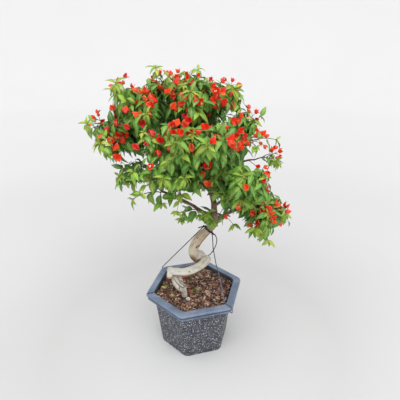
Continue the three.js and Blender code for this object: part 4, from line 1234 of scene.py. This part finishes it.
crown = {
    "middle": (-10, 0, 610), "radius": 260, "depth": (-236, 226), "front": -222,
    "fillMiddle": -5, "fillWidth": 262, "fillDepth": 205, "fillTop": 800, "fillLow": 435,
    # Columns and rows round the crown without its lone tips, and round the gap where the fork shows
    "outline": [
        (112, 92), (129, 87), (146, 85), (149, 75), (153, 65), (164, 68), (178, 71), (191, 70), (201, 68),
        (212, 75), (220, 86), (233, 84), (242, 94), (239, 108), (248, 115), (257, 122), (254, 137),
        (246, 145), (242, 157), (247, 169), (266, 168), (275, 168), (274, 181), (264, 185), (279, 194),
        (282, 204), (288, 214), (288, 228), (276, 227), (269, 242), (250, 241), (240, 224), (235, 214),
        (229, 207), (226, 219), (213, 229), (205, 228), (197, 219), (204, 209), (195, 195), (187, 191),
        (173, 193), (164, 189), (156, 185), (149, 177), (141, 184), (125, 186), (116, 182), (117, 175),
        (122, 171), (116, 164), (108, 163), (98, 151), (98, 141), (93, 136), (95, 127), (105, 120),
        (117, 122), (112, 110), (119, 102),
    ],
    "gap": [
        (184, 195), (192, 192), (210, 191), (222, 200), (225, 216), (215, 228), (203, 227), (196, 216),
        (184, 201),
    ],
}
shoots = [  # name, limb, place on it, tip, arch, side of the side twig
    ("crown_left", "leader", 0.93, (-90, -10, 778), 14, -1),
    ("crown_middle", "leader", 0.995, (-30, -30, 779), 2, 1),
    ("crown_right", "top_right", 0.45, (8, 8, 782), 10, 1),
    ("high_right", "top_right", 0.99, (104, -14, 758), 20, 1),
    ("crown_front", "leader", 0.86, (-12, -84, 762), 22, 1),
    ("crown_back", "back_left", 0.35, (-36, 82, 768), 8, 1),
    ("high_left", "left_high", 0.99, (-196, -26, 772), 14, 1),
    ("high_left_front", "left_high", 0.6, (-122, -92, 734), 22, -1),
    ("left_end", "left_up", 0.99, (-266, -4, 686), 14, 1),
    ("left_front", "left_up", 0.7, (-200, -82, 650), 24, -1),
    ("left_back", "left_up", 0.8, (-196, 72, 662), 22, 1),
    ("left_low_end", "left_low", 0.99, (-172, -22, 560), 22, 1),
    ("left_low_front", "left_low", 0.78, (-150, -118, 528), 30, 1),
    ("front_end", "front", 0.99, (-26, -184, 690), 20, 1),
    ("front_upper_left", "front", 0.62, (-84, -140, 672), 24, 1),
    ("front_upper_right", "front", 0.7, (56, -150, 684), 24, 1),
    ("front_low_left", "front_left", 0.99, (-96, -184, 600), 20, 1),
    ("front_low_middle", "front_left", 0.55, (-30, -150, 552), 24, 1),
    ("front_right_end", "front_right", 0.99, (108, -168, 598), 20, 1),
    ("front_right_low", "front_right", 0.5, (58, -126, 548), 22, 1),
    ("right_top", "right_up", 0.99, (136, -8, 716), 6, 1),
    ("right_front", "right_up", 0.66, (152, -82, 648), 32, 1),
    ("right_end", "right_mid", 0.98, (216, -10, 588), 16, 1),
    ("right_low_end", "right_low", 0.99, (232, -40, 448), 16, 1),
    ("right_low_front", "right_low", 0.6, (176, -102, 448), 34, 1),
    ("right_low_back", "right_low", 0.7, (190, 62, 484), 24, 1),
    ("back_end", "back", 0.99, (34, 190, 668), 18, 1),
    ("back_middle", "back", 0.6, (-16, 146, 592), 22, 1),
    ("back_right_end", "back_right", 0.98, (166, 146, 612), 16, 1),
    ("back_left_end", "back_left", 0.99, (-132, 178, 706), 16, 1),
    ("fork_left", "left_low", 0.3, (-26, -44, 454), 16, 1),
    ("fork_front", "trunk", 0.985, (34, -46, 446), 18, 1),
]
sprays = {
    "crown_left": 0.7, "crown_middle": 0.87, "crown_right": 0.52, "high_right": 0.52, "crown_front": 0.7,
    "high_left": 0.52, "high_left_front": 0.7, "left_end": 0.52, "left_front": 0.7, "front_upper_left": 0.87,
    "front_upper_right": 0.7, "front_end": 0.7, "right_top": 0.52, "right_front": 0.7, "right_end": 0.52,
    "right_low_end": 0.7, "right_low_front": 0.7, "crown_back": 0.52,
}


def arc(start, tip, arch):
    return start, start.lerp(tip, 0.5) + up * arch, tip


def outwards(place):  # direction away from the middle of the crown
    return (place - Vector(crown["middle"])).normalized()


def aroundAxis(axis):
    across = up.cross(axis)
    if across.length < 0.2:
        across = Vector((1, 0, 0)) - axis * axis.x
    across.normalize()
    return across, axis.cross(across)


def spoke(across, over, turn):
    return across * math.cos(turn) + over * math.sin(turn)


def onArc(curve, at):  # place, and directions along, across and over the arc
    start, middle, tip = curve
    place = start * (1 - at) ** 2 + middle * (2 * at * (1 - at)) + tip * at ** 2
    along = ((tip - middle) * (2 * at) + (middle - start) * (2 * (1 - at))).normalized()
    return place, along, *aroundAxis(along)


def squareTo(axis, face):
    return (face - axis * face.dot(axis)).normalized()


def layOutShoot(limb, at, tip, arch, side):
    start = splinePoint(limbs[limb][0], at)
    main = arc(start, Vector(tip), arch)
    place, along, across, over = onArc(main, twig["fork"])
    reach = (start - main[2]).length * twig["sideReach"]
    direction = (along * 0.6 + across * 0.8 * side - up * 0.1).normalized()
    branch = arc(place, place + direction * reach, arch * 0.5)
    return [
        {"curve": main, "leaves": twig["mainLeaves"], "from": twig["mainFrom"]},
        {"curve": branch, "leaves": 3 if reach > twig["longReach"] else 2, "from": twig["sideFrom"]},
    ]


def leafPlace(shootIndex, twigIndex, stem, index, attempt):
    at = lerp(stem["from"], 0.96, index / (stem["leaves"] - 1))
    place, along, across, over = onArc(stem["curve"], at)
    turn = index * twig["leafTurn"] + shootIndex * 1.7 + twigIndex * 2.9 + attempt * 0.72
    outward = spoke(across, over, turn)
    droop = 0.25 + 0.3 * scatter(shootIndex, index, 3 + twigIndex)
    hold = 0.9 if index == stem["leaves"] - 1 else 0.45
    axis = (along * hold + outward * 0.85 - up * droop).normalized()
    sway = across * 0.5 * (scatter(shootIndex, index, 9 + twigIndex) - 0.5)
    face = up * 0.9 + outwards(place) * 0.55 + sway
    size = lerp(leaf["longest"], leaf["shortest"], at * at) - 5 * scatter(shootIndex, index, 7)
    return at, place, axis, squareTo(axis, face), size


def sprayPlace(shootIndex, curve, at, attempt):
    base, along, across, over = onArc(curve, at)
    lean = math.sin(attempt * 1.9 + shootIndex)
    axis = (outwards(base) * 0.8 + up * 0.45 + across * 0.75 * lean).normalized()
    return base, axis, base + axis * bloom["stalk"]


def headPlace(shootIndex, spray, index, attempt):
    base, axis, tip = spray
    if index == 0:
        return base, tip, axis
    pair = math.ceil(index / 2)
    turn = index * math.pi + pair * math.radians(70) + shootIndex * 0.9 + attempt * 0.45
    lean = (spoke(*aroundAxis(axis), turn) * 0.93 + axis * 0.36).normalized()
    fork = base.lerp(tip, 0.28 + 0.24 * pair)
    return fork, fork + lean * bloom["pedicel"], lean


def bractPlace(centre, axis, petal):
    across, over = aroundAxis(axis)
    middle = (across + over).normalized()
    radial = spoke(middle, axis.cross(middle), math.radians(120 * (petal - 1)))
    lean = (axis * 0.62 + radial * 0.78).normalized()
    return centre, lean, squareTo(lean, axis)


def solidPoints(name):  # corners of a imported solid, to find which of its rule's places it uses
    verts = nodes[name].data.vertices
    tree = kdtree.KDTree(len(verts))
    for vert in verts:
        tree.insert(vert.co * 1000, vert.index)
    tree.balance()
    return tree


def holdsTip(tree, base, axis, face, size, curl):
    return tree.find(base + axis * size - face * (size * curl / 2))[2] < 0.08


def firstFit(tree, attempts, placeOf, tipOf):
    for attempt in range(attempts):
        place = placeOf(attempt)
        if holdsTip(tree, *tipOf(place)):
            return place
    return None


def within(outline, spot):
    inside = False
    for (x, y), (nextX, nextY) in zip(outline, outline[1:] + outline[:1]):
        if (y > spot.y) != (nextY > spot.y) and spot.x < (nextX - x) * (spot.y - y) / (nextY - y) + x:
            inside = not inside
    return inside


def insideCrown(place):
    spot = seenAt(place)
    return within(crown["outline"], spot) and not within(crown["gap"], spot)


def bladeMatrix(base, axis, face, size, narrow=1.0):
    across = axis.cross(face)
    return frameMatrix(across * size * narrow, axis * size, face * size, base)


def addLeaf(bm, rng, base, axis, face, size, age, shapes=leafShapes, narrow=1.0, kept=0.06):
    tip = base + axis * size
    if not crown["depth"][0] < tip.y < crown["depth"][1]:
        return
    if rng.random() > kept and not (insideCrown(tip) and insideCrown(base)):
        return
    age = clamp(age + swing(rng, 0.16))
    matrix = bladeMatrix(base, axis, face, size, narrow)
    stamp(bm, rng.choice(shapes), matrix, 1, age=age, tint=rng.random() ** 2)


def addTwig(bm, curve, radius, sides=5, steps=7, age=0.8):
    places = [onArc(curve, number / steps)[0] for number in range(steps + 1)]
    radii = [radius * (1 - 0.45 * number / steps) for number in range(steps + 1)]
    sweepTube(bm, places, radii, sides, age)


def leafAlong(rng, curve, at, turn, size):  # a hanging leaf at a place on a twig
    place, along, across, over = onArc(curve, at)
    outward = spoke(across, over, turn)
    axis = (along * rng.uniform(0.2, 0.5) + outward * 0.85 - up * rng.uniform(0.45, 1.15)).normalized()
    face = up * 0.9 + outwards(place) * 0.6 + across * swing(rng, 0.35)
    return place, axis, squareTo(axis, face), size


def addTipTuft(bm, rng, curve, size, count=5, kept=0.1):  # a star of young leaves at a twig's end
    place, along, across, over = onArc(curve, 1.0)
    start = rng.uniform(0, 6)
    for number in range(count):
        outward = spoke(across, over, start + number * 2 * math.pi / count)
        axis = (along * rng.uniform(0.2, 0.6) + outward - up * rng.uniform(0.2, 0.9)).normalized()
        face = squareTo(axis, up * 0.8 + along * 0.6)
        addLeaf(bm, rng, place, axis, face, size * rng.uniform(0.7, 1.15), 0.3, youngShapes, 1.15, kept)
    for number in range(3):  # the youngest ones still stand upright
        outward = spoke(across, over, start + number * 2.1)
        axis = (along + outward * 0.5 + up * 0.3).normalized()
        face = squareTo(axis, -outward)
        addLeaf(bm, rng, place, axis, face, size * rng.uniform(0.25, 0.45), 0, youngShapes, 1, kept)


growth = {
    "nodeGap": 15, "nodeClear": 0.045, "nodeSpan": (0.16, 0.95), "fineLeaf": 38,
    "tuft": 5, "tuftLeaf": 24, "loneTuft": 0.7,
    "subTwigs": 3, "subReach": (26, 46), "subLeaves": 4, "subSpan": (0.4, 0.95), "subLeaf": (26, 38),
    "subTuft": 19,
    "spurGap": 19, "spurReach": (22, 44), "spurLeaves": 5, "spurSpan": (0.35, 1), "spurLeaf": (26, 42),
    "spurLow": 425,
    "carrierGap": 14, "fillGap": 29, "fillTries": 6500, "fillReach": (18, 52), "fillLeaves": 5,
    "fillSpan": (0.3, 1), "fillLeaf": (20, 38), "fillParts": 4,
}


def addFinerLeaves(bm, rng, curve, taken, age):
    length = (curve[0] - curve[2]).length
    count = int(length / growth["nodeGap"])
    for number in range(count):
        at = lerp(*growth["nodeSpan"], (number + 0.5) / count)
        if all(abs(at - other) > growth["nodeClear"] for other in taken):
            turn = number * twig["leafTurn"] + rng.uniform(0, 1)
            found = leafAlong(rng, curve, at, turn, growth["fineLeaf"] * rng.uniform(0.75, 1.05))
            addLeaf(bm, rng, *found, age - 0.25 * at, narrow=rng.uniform(0.85, 1.1))


def nextLeaf(kind, number):  # place and turn of a leaf among those of a fine twig
    share = number / (growth[kind + "Leaves"] - 1)
    return lerp(*growth[kind + "Span"], share), number * twig["leafTurn"]


def addSubTwig(bm, rng, curve, at):  # a short twig from a place on the main one, where the crown has room
    place, along, across, over = onArc(curve, at)
    turn = rng.uniform(0, wholeTurn)
    direction = along * 0.6 + across * math.cos(turn) * 0.8 + over * math.sin(turn) * 0.8 + up * 0.15
    curve = arc(place, place + direction.normalized() * rng.uniform(*growth["subReach"]), 4)
    if not insideCrown(curve[2]):
        return
    addTwig(bm, curve, *fineTwigs["sub"])
    for number in range(growth["subLeaves"]):
        at, further = nextLeaf("sub", number)
        found = leafAlong(rng, curve, at, turn + further, rng.uniform(*growth["subLeaf"]))
        addLeaf(bm, rng, *found, 0.5, smallShapes)
    addTipTuft(bm, rng, curve, growth["subTuft"])


def makeShoot(shootIndex, name, stems):
    rng = random.Random(100 + shootIndex)
    tree = solidPoints(f"shoot_{name}")
    bm = newShape()
    for twigIndex, stem in enumerate(stems):
        taken = []
        addTwig(bm, stem["curve"], twig["radius"] * (1.1 if twigIndex == 0 else 0.9))
        for index in range(stem["leaves"]):
            found = firstFit(tree, leaf["attempts"],
                             lambda attempt: leafPlace(shootIndex, twigIndex, stem, index, attempt),
                             lambda place: (*place[1:], leaf["curl"]))
            if found:
                at, base, axis, face, size = found
                taken.append(at)
                addLeaf(bm, rng, base, axis, face, size, 0.75 - 0.4 * at, kept=1)
        addFinerLeaves(bm, rng, stem["curve"], taken, 0.75)
        size = growth["tuftLeaf"] * (1 if insideCrown(stem["curve"][2]) else growth["loneTuft"])
        addTipTuft(bm, rng, stem["curve"], size, growth["tuft"], 1)
    for number in range(growth["subTwigs"]):  # the last one starts past the tip, in its tuft
        addSubTwig(bm, rng, stems[0]["curve"], lerp(0.5, 0.82, number))
    finishPiece(f"foliage_{name}", bm, leafMaterials, [f"shoot_{name}"])


def edgeShare(seen):  # the heads at the crown's outline are smaller
    left, top, right, low = bloom["edges"]
    return 1 if left < seen.x < right and seen.y > top or seen.y > low else bloom["edgeSize"]


def addHead(bm, rng, centre, axis, size, isBud=False):  # three bracts, more or less open, and their flowers
    tone = rng.betavariate(1.6, 1.6)
    closed = 2 if isBud else rng.uniform(*bloom["open"])
    hasFlowers = not isBud and rng.random() < bloom["flowering"]
    for petal in range(3):
        base, lean, face = bractPlace(centre, axis, petal)
        lean = (lean + axis * closed * 0.45).normalized()
        shape = rng.choice(bractShapes)
        matrix = bladeMatrix(base, lean, squareTo(lean, axis), size * rng.uniform(*bloom["spread"]))
        age = clamp(tone + swing(rng, 0.1))
        stamp(bm, shape, matrix, 1, age=age, tint=rng.random() ** 2)
        if hasFlowers:
            stand = (axis + lean * 0.35).normalized()
            across, over = aroundAxis(stand)
            width, length = bloom["flowerSize"]
            matrix = frameMatrix(across * width, over * width, stand * length, centre + lean * 1.2)
            stamp(bm, flowerShape, matrix, 2)


def makeSpray(name, stems, shootIndex):
    rng = random.Random(300 + shootIndex)
    tree = solidPoints(f"blooms_{name}")

    def bractTip(head):
        return *bractPlace(head[1], head[2], 1), bloom["bract"], bloom["curl"]

    spray = firstFit(tree, bloom["attempts"],
                     lambda attempt: sprayPlace(shootIndex, stems[0]["curve"], sprays[name], attempt),
                     lambda place: bractTip((place[0], place[2], place[1])))
    bm = newShape()
    base, axis, tip = spray
    addTwig(bm, arc(base, tip, 0), *fineTwigs["spray"])
    for index in range(bloom["count"]):
        head = firstFit(tree, bloom["attempts"],
                        lambda attempt: headPlace(shootIndex, spray, index, attempt), bractTip)
        if head:
            fork, centre, lean = head
            if index:
                addTwig(bm, arc(fork, centre, 1), *fineTwigs["pedicel"])
            headsSeen.append(seenAt(centre))
            addHead(bm, rng, centre, lean, rng.uniform(*bloom["size"]) * edgeShare(headsSeen[-1]))
    for number in range(2):  # buds lower on the stalk
        across, over = aroundAxis(axis)
        turn = rng.uniform(0, wholeTurn)
        fork = base.lerp(tip, rng.uniform(0.2, 0.5))
        lean = (spoke(across, over, turn) + axis * 0.8).normalized()
        addTwig(bm, (fork, fork + lean * 6, fork + lean * 12), *fineTwigs["bud"])
        addHead(bm, rng, fork + lean * 12, lean, rng.uniform(*bloom["budSize"]), True)
    finishPiece(f"bracts_{name}", bm, bloomMaterials, [f"blooms_{name}"])


print("growing the shoots")
allStems, headsSeen = [], []
for shootIndex, (name, limb, at, tip, arch, side) in enumerate(shoots):
    stems = layOutShoot(limb, at, tip, arch, side)
    allStems += stems
    makeShoot(shootIndex, name, stems)
    if name in sprays:
        makeSpray(name, stems, shootIndex)


def makeSpurs():  # short leafy spurs close to the branches, which fill the inside of the crown
    rng = random.Random(11)
    bm = newShape()
    for name, (points, radii) in limbs.items():
        if name in bark["swollen"]:
            continue
        for place, share, run in evenSteps(points, growth["spurGap"]):
            if share < 0.12 or place.z < growth["spurLow"] and name != "right_low":
                continue
            direction = (outwards(place) * 0.5 + Vector(threeOf(rng, -1, 1)) + up * 0.2).normalized()
            curve = arc(place, place + direction * rng.uniform(*growth["spurReach"]), 4)
            if not insideCrown(curve[2]):
                continue
            addTwig(bm, curve, *fineTwigs["spur"])
            for number in range(growth["spurLeaves"]):
                at, further = nextLeaf("spur", number)
                size = rng.uniform(*growth["spurLeaf"])
                found = leafAlong(rng, curve, at, further + rng.uniform(0, 1), size)
                addLeaf(bm, rng, *found, 0.85, smallShapes)
    finishPiece("inner_leaves", bm, leafMaterials)


def findCarriers():  # places on the twigs and the branches that finer growth can start from
    places = [onArc(stem["curve"], number / 10)[0] for stem in allStems for number in range(1, 11)]
    for name, (points, radii) in limbs.items():
        if name not in bark["swollen"]:
            steps = evenSteps(points, growth["carrierGap"])
            places += [place for place, share, run in steps if share > 0.1]
    return places


def hasRoom(tip):
    across, deep = abs(tip.x) - crown["fillWidth"], abs(tip.y - crown["fillMiddle"]) - crown["fillDepth"]
    return max(across, deep, tip.z - crown["fillTop"], crown["fillLow"] - tip.z) <= 0


def fillCrown():  # leafy side twigs, one to each free space of the crown
    rng = random.Random(17)
    parts = [newShape() for part in range(growth["fillParts"])]
    taken = set()
    for attempt in range(growth["fillTries"]):
        start = rng.choice(carriers)
        direction = Vector([rng.gauss(0, 1) for axis in range(3)]).normalized()
        direction = (direction + outwards(start) * 0.35).normalized()
        tip = start + direction * rng.uniform(*growth["fillReach"])
        cell = tuple(round(c / growth["fillGap"]) for c in tip)
        if cell in taken or not (insideCrown(tip) and insideCrown(start.lerp(tip, 0.5)) and hasRoom(tip)):
            continue
        taken.add(cell)
        quarter = int((tip.x + crown["radius"]) / (2 * crown["radius"]) * len(parts))  # from left to right
        bm = parts[min(max(quarter, 0), len(parts) - 1)]
        curve = arc(start, tip, 6)
        addTwig(bm, curve, *fineTwigs["fill"])
        deep = 1 - min((tip - Vector(crown["middle"])).length / crown["radius"], 1)
        first = rng.uniform(0, 6)
        for number in range(growth["fillLeaves"]):
            at, further = nextLeaf("fill", number)
            found = leafAlong(rng, curve, at, first + further, rng.uniform(*growth["fillLeaf"]))
            addLeaf(bm, rng, *found, 0.45 + 0.5 * deep, smallShapes, rng.uniform(0.85, 1.1))
    for number, bm in enumerate(parts):
        finishPiece(f"crown_leaves_{number + 1}", bm, leafMaterials)
    print(len(taken), "side twigs")


makeSpurs()
carriers = findCarriers()
fillCrown()


print("adding the blooms of the front")
# Columns and rows of the picture at which a bloom shows, each carried by the nearest twig behind it
bloomSpots = [
    (118, 83), (132, 88), (139, 94), (152.6, 106), (115, 110), (125, 113), (139.6, 118), (151, 116),
    (144, 124), (129, 128), (104.4, 122.7), (106, 133.5), (125, 136.5), (125, 143.4), (146.5, 145),
    (138.8, 149.5), (113.6, 141), (115, 150.5), (118, 158), (162.6, 67), (171.8, 75.7), (178.7, 73),
    (175.6, 83), (161.8, 90.6), (168.7, 93.7), (174, 100.6), (182.5, 106.7), (175.3, 126), (184.5, 128),
    (182.5, 88), (190, 84), (197.4, 76.6), (209.8, 80.3), (213, 87.4), (214.8, 99), (206, 94),
    (221.4, 92.3), (221.4, 105.6), (230.5, 109.8), (229.7, 96.5), (191.6, 114.7), (208, 117),
    (205.7, 128), (239.7, 117), (238, 131), (223.9, 138), (233, 143), (241, 147), (247, 146),
    (211.5, 143), (150.8, 167.4), (202.6, 166), (208, 168), (201.2, 173), (208.9, 185), (258, 167.4),
    (263.7, 166.7), (268.6, 172.3), (262.3, 181.4), (243.3, 187.7), (235.6, 206.7), (224.4, 214.4),
    (273.9, 204.6), (260.2, 210), (268, 214), (251, 222.8), (284.7, 213.7), (259.6, 206), (265, 209),
    (257, 215), (270, 218), (224.5, 138.6), (229, 141), (238.6, 145.6), (228, 145), (232, 149), (179, 96),
    (186, 97), (193, 99), (199, 104), (186, 118), (190, 122), (178, 112), (172, 108), (202, 88),
    (216, 93), (211, 101), (217, 108), (231, 121), (236, 124), (170, 128), (156, 103), (147, 102),
    (181, 133), (174, 133), (235, 136), (243, 141),
]
whorlSpots = [  # column, row, length of the young leaves
    (116, 84, 27), (126, 100, 34), (191, 92, 30), (196.5, 112, 36), (207.7, 146, 34), (220.3, 172, 34),
    (168.4, 162.4, 30), (164.2, 178, 28), (101, 143, 28), (233, 88.5, 30), (252.6, 120.3, 28),
    (276.4, 161, 22), (256.8, 228.4, 30), (284.8, 214.3, 22), (119.3, 176.5, 24), (155.8, 68.4, 26),
    (197.9, 69.8, 24), (178, 141, 36), (142, 193, 22), (206, 214, 26), (214, 222, 24), (182, 219, 22),
    (177, 211, 22), (263, 200, 24), (243, 176, 26), (134, 172, 28), (150, 140, 30), (184, 178, 28),
    (240, 200, 28), (268, 240, 24), (87, 124, 20), (233, 224, 22),
]
frontBlooms = {"reach": 46, "lift": 26, "offWeight": 1.5, "size": (16, 21), "clear": 4,
               "rear": 42, "rearFrom": 40, "rearReach": (18, 34)}


def hungAt(column, row):  # the twig that a spot of the picture can hang on, and the place in front of it
    direction = lookThrough(column, row)
    best = None
    for place in carriers:
        depth = (place - eye).dot(direction)
        off = (eye + direction * depth - place).length
        cost = depth + frontBlooms["offWeight"] * off
        if off < frontBlooms["reach"] and (best is None or cost < best[0]):
            best = (cost, depth, place)
    if best is None:
        return None
    spot = eye + direction * (best[1] - frontBlooms["lift"])
    spot.y = max(spot.y, crown["front"])
    return best[2], spot, direction


def makeFrontBlooms():
    rng = random.Random(23)
    bm = newShape()
    for column, row in bloomSpots:
        seen = Vector((column, row))
        hung = hungAt(column, row)
        if hung is None or any((other - seen).length < frontBlooms["clear"] for other in headsSeen):
            continue
        carrier, centre, direction = hung
        axis = outwards(centre) * 0.6 + up * 0.35 - direction * 0.4 + Vector(threeOf(rng, -0.7, 0.7))
        addTwig(bm, arc(carrier, centre, 2), *fineTwigs["loneBloom"])
        addHead(bm, rng, centre, axis.normalized(), rng.uniform(*frontBlooms["size"]) * edgeShare(seen))
    finishPiece("front_bracts", bm, bloomMaterials)


def makeRearBlooms():  # the rear of the crown flowers too, more thinly
    rng = random.Random(41)
    bm = newShape()
    curves = [stem["curve"] for stem in allStems if stem["curve"][2].y > frontBlooms["rearFrom"]]
    for number in range(frontBlooms["rear"]):
        place, along, across, over = onArc(curves[number % len(curves)], rng.uniform(0.45, 1))
        axis = (outwards(place) * 0.7 + up * 0.5 + across * swing(rng, 0.7)).normalized()
        centre = place + axis * rng.uniform(*frontBlooms["rearReach"])
        addTwig(bm, arc(place, centre, 2), *fineTwigs["loneBloom"])
        addHead(bm, rng, centre, axis, rng.uniform(*frontBlooms["size"]))
    finishPiece("rear_bracts", bm, bloomMaterials)


def makeFrontWhorls():
    rng = random.Random(29)
    bm = newShape()
    for column, row, size in whorlSpots:
        hung = hungAt(column, row)
        if hung is None:
            continue
        curve = arc(hung[0], hung[1], 6)
        addTwig(bm, curve, *fineTwigs["whorl"])
        addTipTuft(bm, rng, curve, size, 6, 1)
        for number in range(3):
            at = lerp(0.45, 0.85, number / 2)
            found = leafAlong(rng, curve, at, rng.uniform(0, 6), size)
            addLeaf(bm, rng, *found, 0.35, smallShapes, 1.0, 0.7)
    finishPiece("front_young_leaves", bm, leafMaterials)


makeFrontBlooms()
makeRearBlooms()
makeFrontWhorls()


print("scattering weeds and fallen leaves")
litter = {
    "weeds": [(195, 293, 9), (191.4, 278, 6), (198.4, 273.5, 6), (170, 288, 4)],  # column, row and stems
    "leaves": [(173.2, 297), (160.5, 287.2), (159.5, 295.6)], "leafLength": 20,
    "bracts": [(189, 291.8), (184.4, 277.4)], "bractLength": 15,
    "weedHeight": 172, "leafHeight": 176, "bractHeight": 175,
}


def makeWeed(bm, rng, root):
    turn = rng.uniform(0, wholeTurn)
    outward = Vector((math.cos(turn), math.sin(turn), rng.uniform(0.4, 1.6))).normalized()
    tip = root + outward * rng.uniform(6, 14)
    addTwig(bm, arc(root, tip, 1.5), *fineTwigs["weed"])
    for side in (1, -1):
        axis = (outward + outward.cross(up).normalized() * side * 0.9).normalized()
        addLeaf(bm, rng, tip, axis, squareTo(axis, up), rng.uniform(5, 9), 0.7, youngShapes, kept=1)


def fallenAxis(rng, rise):
    turn = rng.uniform(0, wholeTurn)
    return Vector((math.cos(turn), math.sin(turn), rise)).normalized()


def makeLitter():
    rng = random.Random(31)
    bm = newShape()
    for column, row, count in litter["weeds"]:
        for number in range(count):
            makeWeed(bm, rng, spotOnSoil(column, row, litter["weedHeight"]))
    for column, row in litter["leaves"]:
        axis = fallenAxis(rng, 0.1)
        place = spotOnSoil(column, row, litter["leafHeight"])
        addLeaf(bm, rng, place, axis, squareTo(axis, up), litter["leafLength"], 0.0, kept=1)
    finishPiece("weeds_and_fallen_leaves", bm, leafMaterials)
    bm = newShape()
    for column, row in litter["bracts"]:
        axis = fallenAxis(rng, 0.25)
        place = spotOnSoil(column, row, litter["bractHeight"])
        matrix = bladeMatrix(place, axis, squareTo(axis, up), litter["bractLength"])
        stamp(bm, bractShapes[1], matrix, 1, age=0.7, tint=0.3)
    finishPiece("fallen_bracts", bm, bloomMaterials[:2])


makeLitter()


print("setting the stage and the lights")
studio = {
    "air": (1.0, 1.0, 1.0), "airStrength": 0.88,
    "floor": 3.8, "bend": 1, "bendSteps": 12, "wall": 1.6,  # metres: flat reach, radius of the bend, height
    # painted light: the floor is lighter right round the pot, darkest about half a metre out, and lighter
    # again far out and up the backdrop
    "tones": [(0.03, "d2d2d2"), (0.06, "cacaca"), (0.09, "c1c1c1"), (0.2, "cacaca"), (0.8, "e0e0e0")],
    "glow": [(0.12, "000000"), (0.27, "3e3e3e"), (0.4, "626262"), (0.6, "707070")],  # painted light: the stage glows more from 0 to 5 m out
    "lamps": [  # name, place, aim, size, power
        ("key", (-0.15, -0.7, 2.7), (0, 0, 0.45), 2.8, 54),
        ("fill", (1.2, -2.0, 1.7), (0, 0, 0.4), 1.8, 12),
    ],
}


def makeFloorMaterial():
    material, tree, shader = newMaterial("floorWithPaintedLight", Roughness=0.9, Emission_Strength=1.0)
    marks = mottled(tree, 1.2, 40.0)
    flat = addNode(tree, "VectorMath", {0: objectPlace(tree), 1: (1, 1, 0)}, operation="MULTIPLY")
    reach = addNode(tree, "VectorMath", {0: flat.outputs[0]}, operation="LENGTH").outputs["Value"]
    reach = rescale(tree, reach, 0, 5, 0, 1)
    # painted light in the floor's colour and in its glow, by the distance out from the middle
    base = mixIn(tree, times(tree, marks["Patches"], 0.15), ramp(tree, reach, studio["tones"]), "d6d6d6")
    plug(tree, base, shader["Base Color"])
    plug(tree, ramp(tree, reach, studio["glow"]), shader["Emission Color"])
    return material


def makeStage():  # round floor whose edge curves up into a backdrop
    bm = bmesh.new()
    reach, bend = studio["floor"], studio["bend"]
    turns = [math.radians(90 * step / studio["bendSteps"]) for step in range(studio["bendSteps"] + 1)]
    curve = [(reach + bend * math.sin(turn), 0, bend - bend * math.cos(turn)) for turn in turns]
    places = [(0.01, 0, 0), *curve, (reach + bend, 0, studio["wall"])]
    profile = [bm.verts.new(place) for place in places]
    edges = [bm.edges.new(pair) for pair in zip(profile, profile[1:])]
    bmesh.ops.spin(bm, geom=profile + edges, cent=(0, 0, 0), axis=(0, 0, 1), angle=2 * math.pi, steps=64,
                   use_merge=True)
    hole = [edge for edge in bm.edges if edge.is_boundary and edge.calc_length() < 0.01]
    bmesh.ops.holes_fill(bm, edges=hole)
    bmesh.ops.recalc_face_normals(bm, faces=bm.faces)
    bmesh.ops.reverse_faces(bm, faces=bm.faces[:])
    mesh = newMesh("studio_floor", bm)
    mesh.materials.append(makeFloorMaterial())
    mesh.shade_smooth()
    floor = bpy.data.objects.new("studio_floor", mesh)
    scene.collection.objects.link(floor)


def makeLights():
    world = bpy.data.worlds.new("studio air")
    world.use_nodes = True
    air = world.node_tree.nodes["Background"].inputs
    air["Color"].default_value = (*studio["air"], 1)
    air["Strength"].default_value = studio["airStrength"]
    scene.world = world
    for name, place, aim, size, power in studio["lamps"]:
        lamp = bpy.data.lights.new(name, "AREA")
        lamp.size = size
        lamp.energy = power
        holder = bpy.data.objects.new(name, lamp)
        holder.location = place
        holder.rotation_euler = (Vector(place) - Vector(aim)).to_track_quat("Z", "Y").to_euler()
        scene.collection.objects.link(holder)


makeStage()
makeLights()
